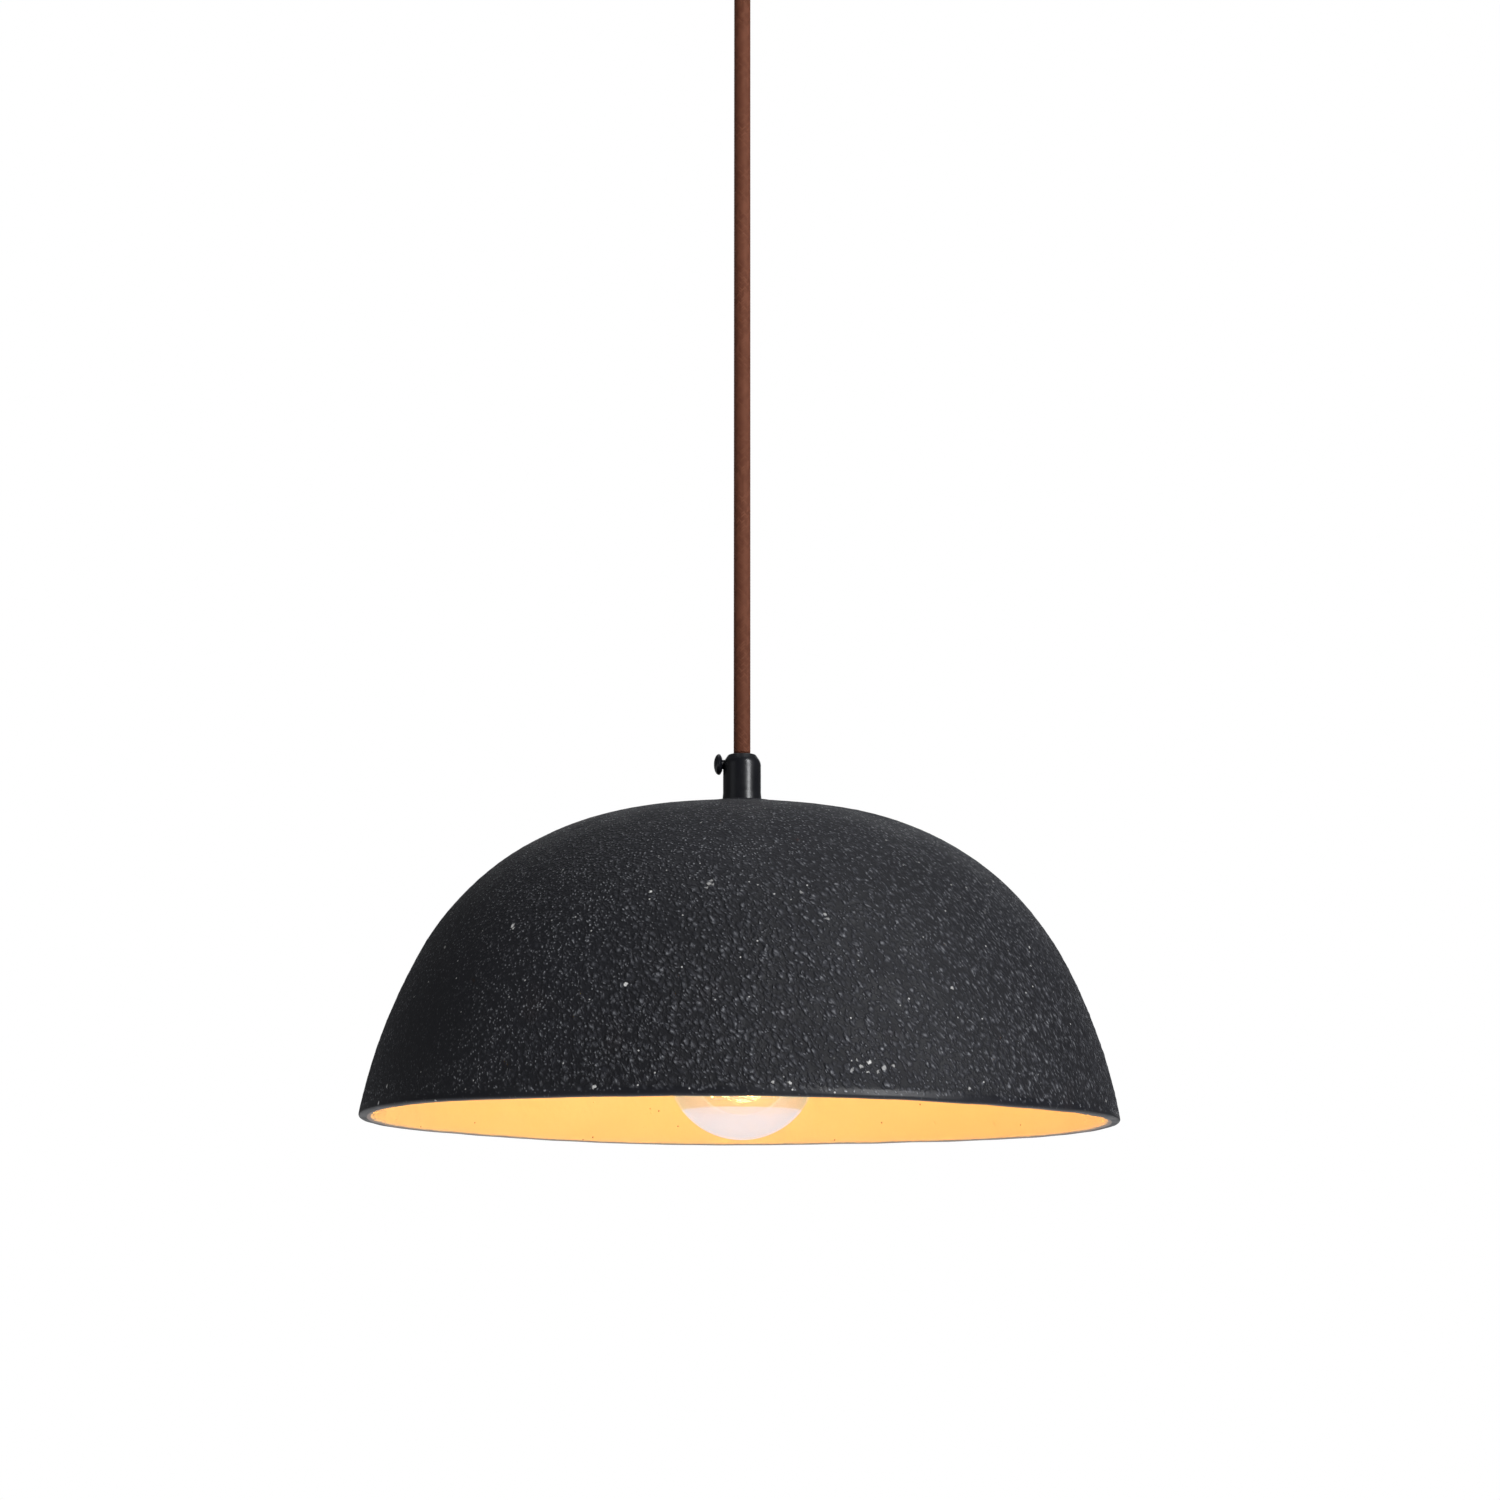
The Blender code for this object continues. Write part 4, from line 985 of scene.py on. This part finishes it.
def softened(node, finish, width, least=0.0):
    """A copy of the CAD node's mesh, its flat faces made whole and its edges longer than least broken."""
    bm = bmesh.new()
    bm.from_mesh(frame["nodes"][node].data)
    bmesh.ops.remove_doubles(bm, verts=bm.verts, dist=0.00001)
    bmesh.ops.dissolve_limit(bm, angle_limit=radians(2), verts=bm.verts, edges=bm.edges)
    sharp = [e for e in bm.edges if e.calc_face_angle(0) > radians(40) and e.calc_length() > least]
    bmesh.ops.bevel(bm, geom=sharp, offset=width, segments=1, affect="EDGES", clamp_overlap=True)
    bmesh.ops.triangulate(bm, faces=[f for f in bm.faces if len(f.verts) > 4])
    piece(node + "_body", mesh_from(node, bm), finish, "ceiling_fitting", node, sharp=12)


def make_terminals():
    """The screws of the terminal block and of the earth, which all face down."""
    down = (0, 0, -1)
    for pole in ("live", "neutral"):
        for side in ("cord", "mains"):
            node = "terminal_screw_%s_%s" % (pole, side)
            low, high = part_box(node)
            middle = (low + high) / 2
            place = (middle.x, middle.y, low.z)
            screw(node, "ceiling_fitting", place, down, M3, high.z - low.z, headed=False)
    for node, radius in (("terminal_block_screw", M3), ("earth_screw_top", M4)):
        low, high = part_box(node)
        seat = low.z + HEAD[radius][1]
        screw(node, "ceiling_fitting", ((low.x + high.x) / 2, 0, seat), down, radius, high.z - seat)


# ---- lampholder


def make_holder():
    """The holder's metal cap, and its skirt with grip ribs."""
    low, top = span("holder_cap")
    outer, inner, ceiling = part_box("holder_cap")[1].x, 0.0172, 0.1069 + RIM
    profile = rounded([(M10_HOLE, ceiling), (M10_HOLE, top, 0.0003), (0.0092, top, 0.004),
                       (outer, 0.106 + RIM, 0.008), (outer, low, 0.0004), (inner, low, 0.0002),
                       (inner, 0.102 + RIM, 0.002), (0.0136, ceiling)], 9)
    turned("holder_cup", profile, "satin_black_paint", "lamp", "holder_cap", 128, 36)

    low, top = span("holder_skirt")
    bore, wall, spigot, joint = 0.0152, 0.019, 0.0169, 0.0927 + RIM
    ribs, rib_depth = 36, 0.00045

    def ribbed(angle, r, z):
        band = smoothstep(z, low + 0.003, low + 0.0042) * smoothstep(z, joint - 0.002, joint - 0.0034)
        return r - rib_depth * band * (0.5 - 0.5 * cos(ribs * angle)) ** 2 if r == wall else r

    foot = rounded([(bore, low, 0.0004), (wall, low, 0.0012), (wall, low + 0.0022)], 5)[:-1]
    profile = [(bore, low + 0.0006), *foot, *rows(wall, low + 0.002, joint - 0.0004, 0.0005),
               (wall - 0.0003, joint), (spigot, joint), (spigot, top), (bore, top)]
    turned("holder_sleeve", profile, "holder_black", "lamp", "holder_skirt", 216, 40, warp=ribbed)


def threaded(radius, low, high):
    """Profile rows of a wall with an Edison screw, and the warp that cuts it and lets it fade at its ends."""
    fade = 0.001

    def warp(angle, r, z):
        if r != radius or not low <= z <= high:
            return r
        depth = THREAD_DEPTH * max(0.0, min(1.0, (z - low) / fade, (high - z) / fade))
        return r + depth * cos(TURN * (z - RIM) / PITCH - angle)

    return rows(radius, low, high, PITCH / 14), warp


def make_shell():
    """The holder's brass shell, threaded on both its walls."""
    low, top = span("holder_screw_shell")
    bore, wall = 0.0134, 0.0143
    inside, warp_inside = threaded(bore, 0.0765 + RIM, 0.0915 + RIM)
    outside, warp_outside = threaded(wall, 0.0765 + RIM, 0.0915 + RIM)
    profile = [(0.0147, top), *reversed(outside), (0.0147, low), (0.0139, low), *inside,
               (bore, top - 0.0007), (0.011, top - 0.0007), (0.011, top)]

    def warp(angle, r, z):
        return warp_inside(angle, r, z) if r == bore else warp_outside(angle, r, z)

    turned("screw_shell", profile, "brass", "lamp", "holder_screw_shell", 96, 40, warp=warp)


# ---- bulb


def globe_curve(offset):
    """(radius, height) up the bulb's outline, offset into the glass, from its lowest point to the neck."""
    radius = GLOBE_RADIUS - offset
    points = [(radius * cos(a), GLOBE_CENTRE + radius * sin(a))
              for a in [radians(-90 + 3 * k) for k in range(1, 42)]]
    corner = (GLOBE_RADIUS * cos(NECK_TURN), GLOBE_CENTRE + GLOBE_RADIUS * sin(NECK_TURN))
    bend = (corner[0] - NECK_RADIUS) / (1 - cos(NECK_TURN))
    centre = (corner[0] + bend * cos(NECK_TURN), corner[1] + bend * sin(NECK_TURN))
    for k in range(17):
        a = NECK_TURN * (1 - k / 16)
        points.append((centre[0] - (bend + offset) * cos(a), centre[1] - (bend + offset) * sin(a)))
    return points


def make_bulb():
    """The globe, its screwed cap with the insulator and contact, and the stem inside."""
    bottom = GLOBE_CENTRE - GLOBE_RADIUS
    globe = [(0, bottom), *globe_curve(0.0), *reversed(globe_curve(GLASS_WALL)), (0, bottom + GLASS_WALL)]
    turned("bulb_globe", globe, "bulb_glass", "bulb", "bulb_glass", 128, 60, base=RIM)

    thread, warp = threaded(0.01275, 0.0755 + RIM, 0.0895 + RIM)
    flange = span("bulb_cap")[0]
    rest = [(r, z + RIM) for r, z in ((0.0118, 0.0912), (0.0104, 0.0926), (0.009, 0.0935), (0.003, 0.0935),
                                      (0.003, 0.0928), (0.0086, 0.0928), (0.0114, 0.0904))]
    skirt = rounded([(0.0114, flange), (0.0141, flange, 0.0003), (0.0141, flange + 0.0012, 0.0005),
                     (0.013, flange + 0.0018)], 3)
    profile = skirt[:-1] + thread + rest
    turned("bulb_screw_cap", profile, "nickel_plate", "bulb", "bulb_cap", 96, 40, warp=warp)

    insulator = rounded([(0, 0.0938), (0.0088, 0.0938, 0.0003), (0.0064, 0.0962, 0.001),
                         (0.0052, 0.0968, 0.0003), (0, 0.0968)], 4)
    turned("cap_insulator", insulator, "black_glass", "bulb_tip", "bulb_insulator", base=RIM)
    contact = rounded([(0, 0.0971), (0.0048, 0.0971, 0.0002), (0.0046, 0.0976, 0.0005),
                       (0.0034, 0.0981, 0.001), (0, 0.0983)], 4)
    turned("cap_contact", contact, "brass", "bulb_tip", "bulb_contact", base=RIM)
    stem = rounded([(0, 0.0712), (0.0105, 0.0712, 0.0004), (0.01, 0.069, 0.001), (0.0062, 0.064, 0.006),
                    (0.0042, 0.058, 0.008), (0.003, 0.052, 0.005), (0.0012, 0.0495, 0.002),
                    (0.0012, 0.0115, 0.0006), (0, 0.0115)], 6)
    turned("glass_stem", stem, "stem_glass", "bulb", "bulb_stem", 48, base=RIM, slot="bulb_glass")


def make_filaments():
    """Four coated filaments with bare wire tips, between two stars of flat wire."""
    wire, coat = 0.00035, 0.00098
    for k in range(1, 5):
        node = "filament_%d" % k
        points = [v.co for v in frame["nodes"][node].data.vertices]
        top, foot = max(p.z for p in points), min(p.z for p in points)
        upper = [p for p in points if p.z > top - 0.0006]
        lower = [p for p in points if p.z < foot + 0.0006]
        start, end = sum(lower, Vector()) / len(lower), sum(upper, Vector()) / len(upper)
        length = (end - start).length
        profile = rounded([(0, 0), (wire, 0), (wire, 0.0016), (coat, 0.002, 0.0003),
                           (coat, length - 0.002, 0.0003), (wire, length - 0.0016), (wire, length),
                           (0, length)], 3)
        rod = moved(lathe(node, profile, 20), start, end - start)
        piece("led_" + node, rod, "filament_phosphor", "bulb", node)


# ---- kept CAD nodes


KEPT = {
    "zinc_steel": ["threaded_nipple", "holder_screw_live", "holder_screw_neutral", "earth_screw_low"],
    "brass": ["terminal_sleeve_live", "terminal_sleeve_neutral", "holder_terminal_live",
              "holder_terminal_neutral", "centre_contact", "earth_lug_low"],
    "porcelain": ["holder_disc"],
    "core_brown": ["core_live_top", "core_live_low"],
    "core_blue": ["core_neutral_top", "core_neutral_low"],
    "core_green_yellow": ["core_earth_top", "core_earth_low"],
    "filament_wire": ["filament_frame_top", "filament_frame_low"],
}


def dress_kept_nodes():
    """Gives the CAD nodes whose shape is already right their finished materials."""
    for finish, nodes in KEPT.items():
        for node in nodes:
            obj = frame["nodes"][node]
            obj.data.shade_smooth()
            obj.data.set_sharp_from_angle(angle=radians(35))
            for place in obj.material_slots:
                place.material = FINISH[finish]


# ---- stage, light and camera


def make_floor():
    """A plain pale disc below the lamp, which sends light up as a studio floor does."""
    bm = bmesh.new()
    bmesh.ops.create_circle(bm, cap_ends=True, segments=96, radius=FLOOR_RADIUS)
    mesh = moved(mesh_from("studio_floor", bm), (0, 0, FLOOR_HEIGHT))
    floor = Finish("studio_floor", 0.8)
    seen = floor.node("LightPath", "Is Camera Ray")
    floor.set(Base_Color=floor.mix(floor.cloud(3.0, 2), (0.8, 0.8, 0.8), (0.83, 0.83, 0.83)),
              Emission_Color=(0.97, 0.98, 1.0),
              Emission_Strength=floor.step(seen, 0.0, 1.0, FLOOR_GLOW, FLOOR_SEEN))
    mesh.materials.append(floor.material)
    added("studio_floor", mesh)


def make_world():
    """White behind the object, and a dim, slightly cool light on it."""
    world = bpy.data.worlds.new("studio")
    bpy.context.scene.world = world
    world.use_nodes = True
    tree = world.node_tree
    light = tree.nodes["Background"]
    seen = tree.nodes.new("ShaderNodeBackground")
    for background, colour, strength in ((light, (0.96, 0.98, 1.0, 1), 0.09), (seen, (1, 1, 1, 1), 1.0)):
        background.inputs["Color"].default_value = colour
        background.inputs["Strength"].default_value = strength
    path = tree.nodes.new("ShaderNodeLightPath")
    both = tree.nodes.new("ShaderNodeMixShader")
    tree.links.new(path.outputs["Is Camera Ray"], both.inputs[0])
    tree.links.new(light.outputs[0], both.inputs[1])
    tree.links.new(seen.outputs[0], both.inputs[2])
    tree.links.new(both.outputs[0], tree.nodes["World Output"].inputs["Surface"])


LIGHTS = (  # name, place from the shade's middle, width and height, watts, colour
    ("key", (1.07, -1.19, 0.75), (0.45, 1.3), 27.0, (0.97, 0.98, 1.0)),
    ("fill", (-1.3, -0.8, 0.35), (0.8, 0.9), 0.6, (0.92, 0.95, 1.0)),
    ("above", (0.1, 0.3, 1.6), (1.2, 1.2), 4.5, (0.96, 0.98, 1.0)),
    ("back", (0.1, 1.5, 0.5), (1.2, 1.0), 3.0, (0.96, 0.98, 1.0)),
)


def make_lights():
    """Four soft panels aimed at the shade, and a small warm light inside the bulb."""
    for name, place, size, power, colour in LIGHTS:
        data = bpy.data.lights.new(name, "AREA")
        data.shape = "RECTANGLE"
        data.size, data.size_y = size
        data.energy = power
        data.color = colour
        panel = added(name, data)
        panel.location = Vector((0, 0, RIM + 0.06)) + Vector(place)
        panel.rotation_euler = (-Vector(place)).to_track_quat("-Z", "Y").to_euler()
    glow = bpy.data.lights.new("filament_glow", "POINT")
    glow.energy = 0.9
    glow.color = GLOW
    glow.shadow_soft_size = 0.014
    bulb = added("filament_glow", glow)
    bulb.location = (0, 0, RIM + 0.028)
    bulb.parent = frame["bodies"]["lamp"]


def make_camera():
    """An 85 mm lens below the rim's height, looking slightly up at the lamp."""
    data = bpy.data.cameras.new("camera")
    data.lens, data.sensor_width = 85, 36
    camera = added("camera", data)
    camera.location = (0.0032, -1.4, -0.6084)
    camera.rotation_euler = (radians(99.7), 0, 0)
    bpy.context.scene.camera = camera
    bpy.context.scene.view_settings.view_transform = "Standard"


def main():
    make_camera()
    make_cord()
    make_shade()
    make_grip()
    make_thumb_screw()
    make_canopy()
    make_gland()
    make_terminals()
    make_ring("gland_washer", "zinc_steel", "ceiling_fitting")
    make_ring("shade_washer", "zinc_steel", "lamp")
    make_ring("shade_gasket", "black_rubber", "lamp")
    make_nut("gland_nut", "ceiling_fitting")
    make_nut("shade_nut", "lamp")
    softened("ceiling_bracket", "zinc_steel", 0.0003, least=0.006)
    softened("terminal_block", "white_nylon", 0.0004, least=0.006)
    softened("earth_lug_top", "brass", 0.00012)
    make_holder()
    make_shell()
    make_bulb()
    make_filaments()
    dress_kept_nodes()
    make_floor()
    make_world()
    make_lights()


main()
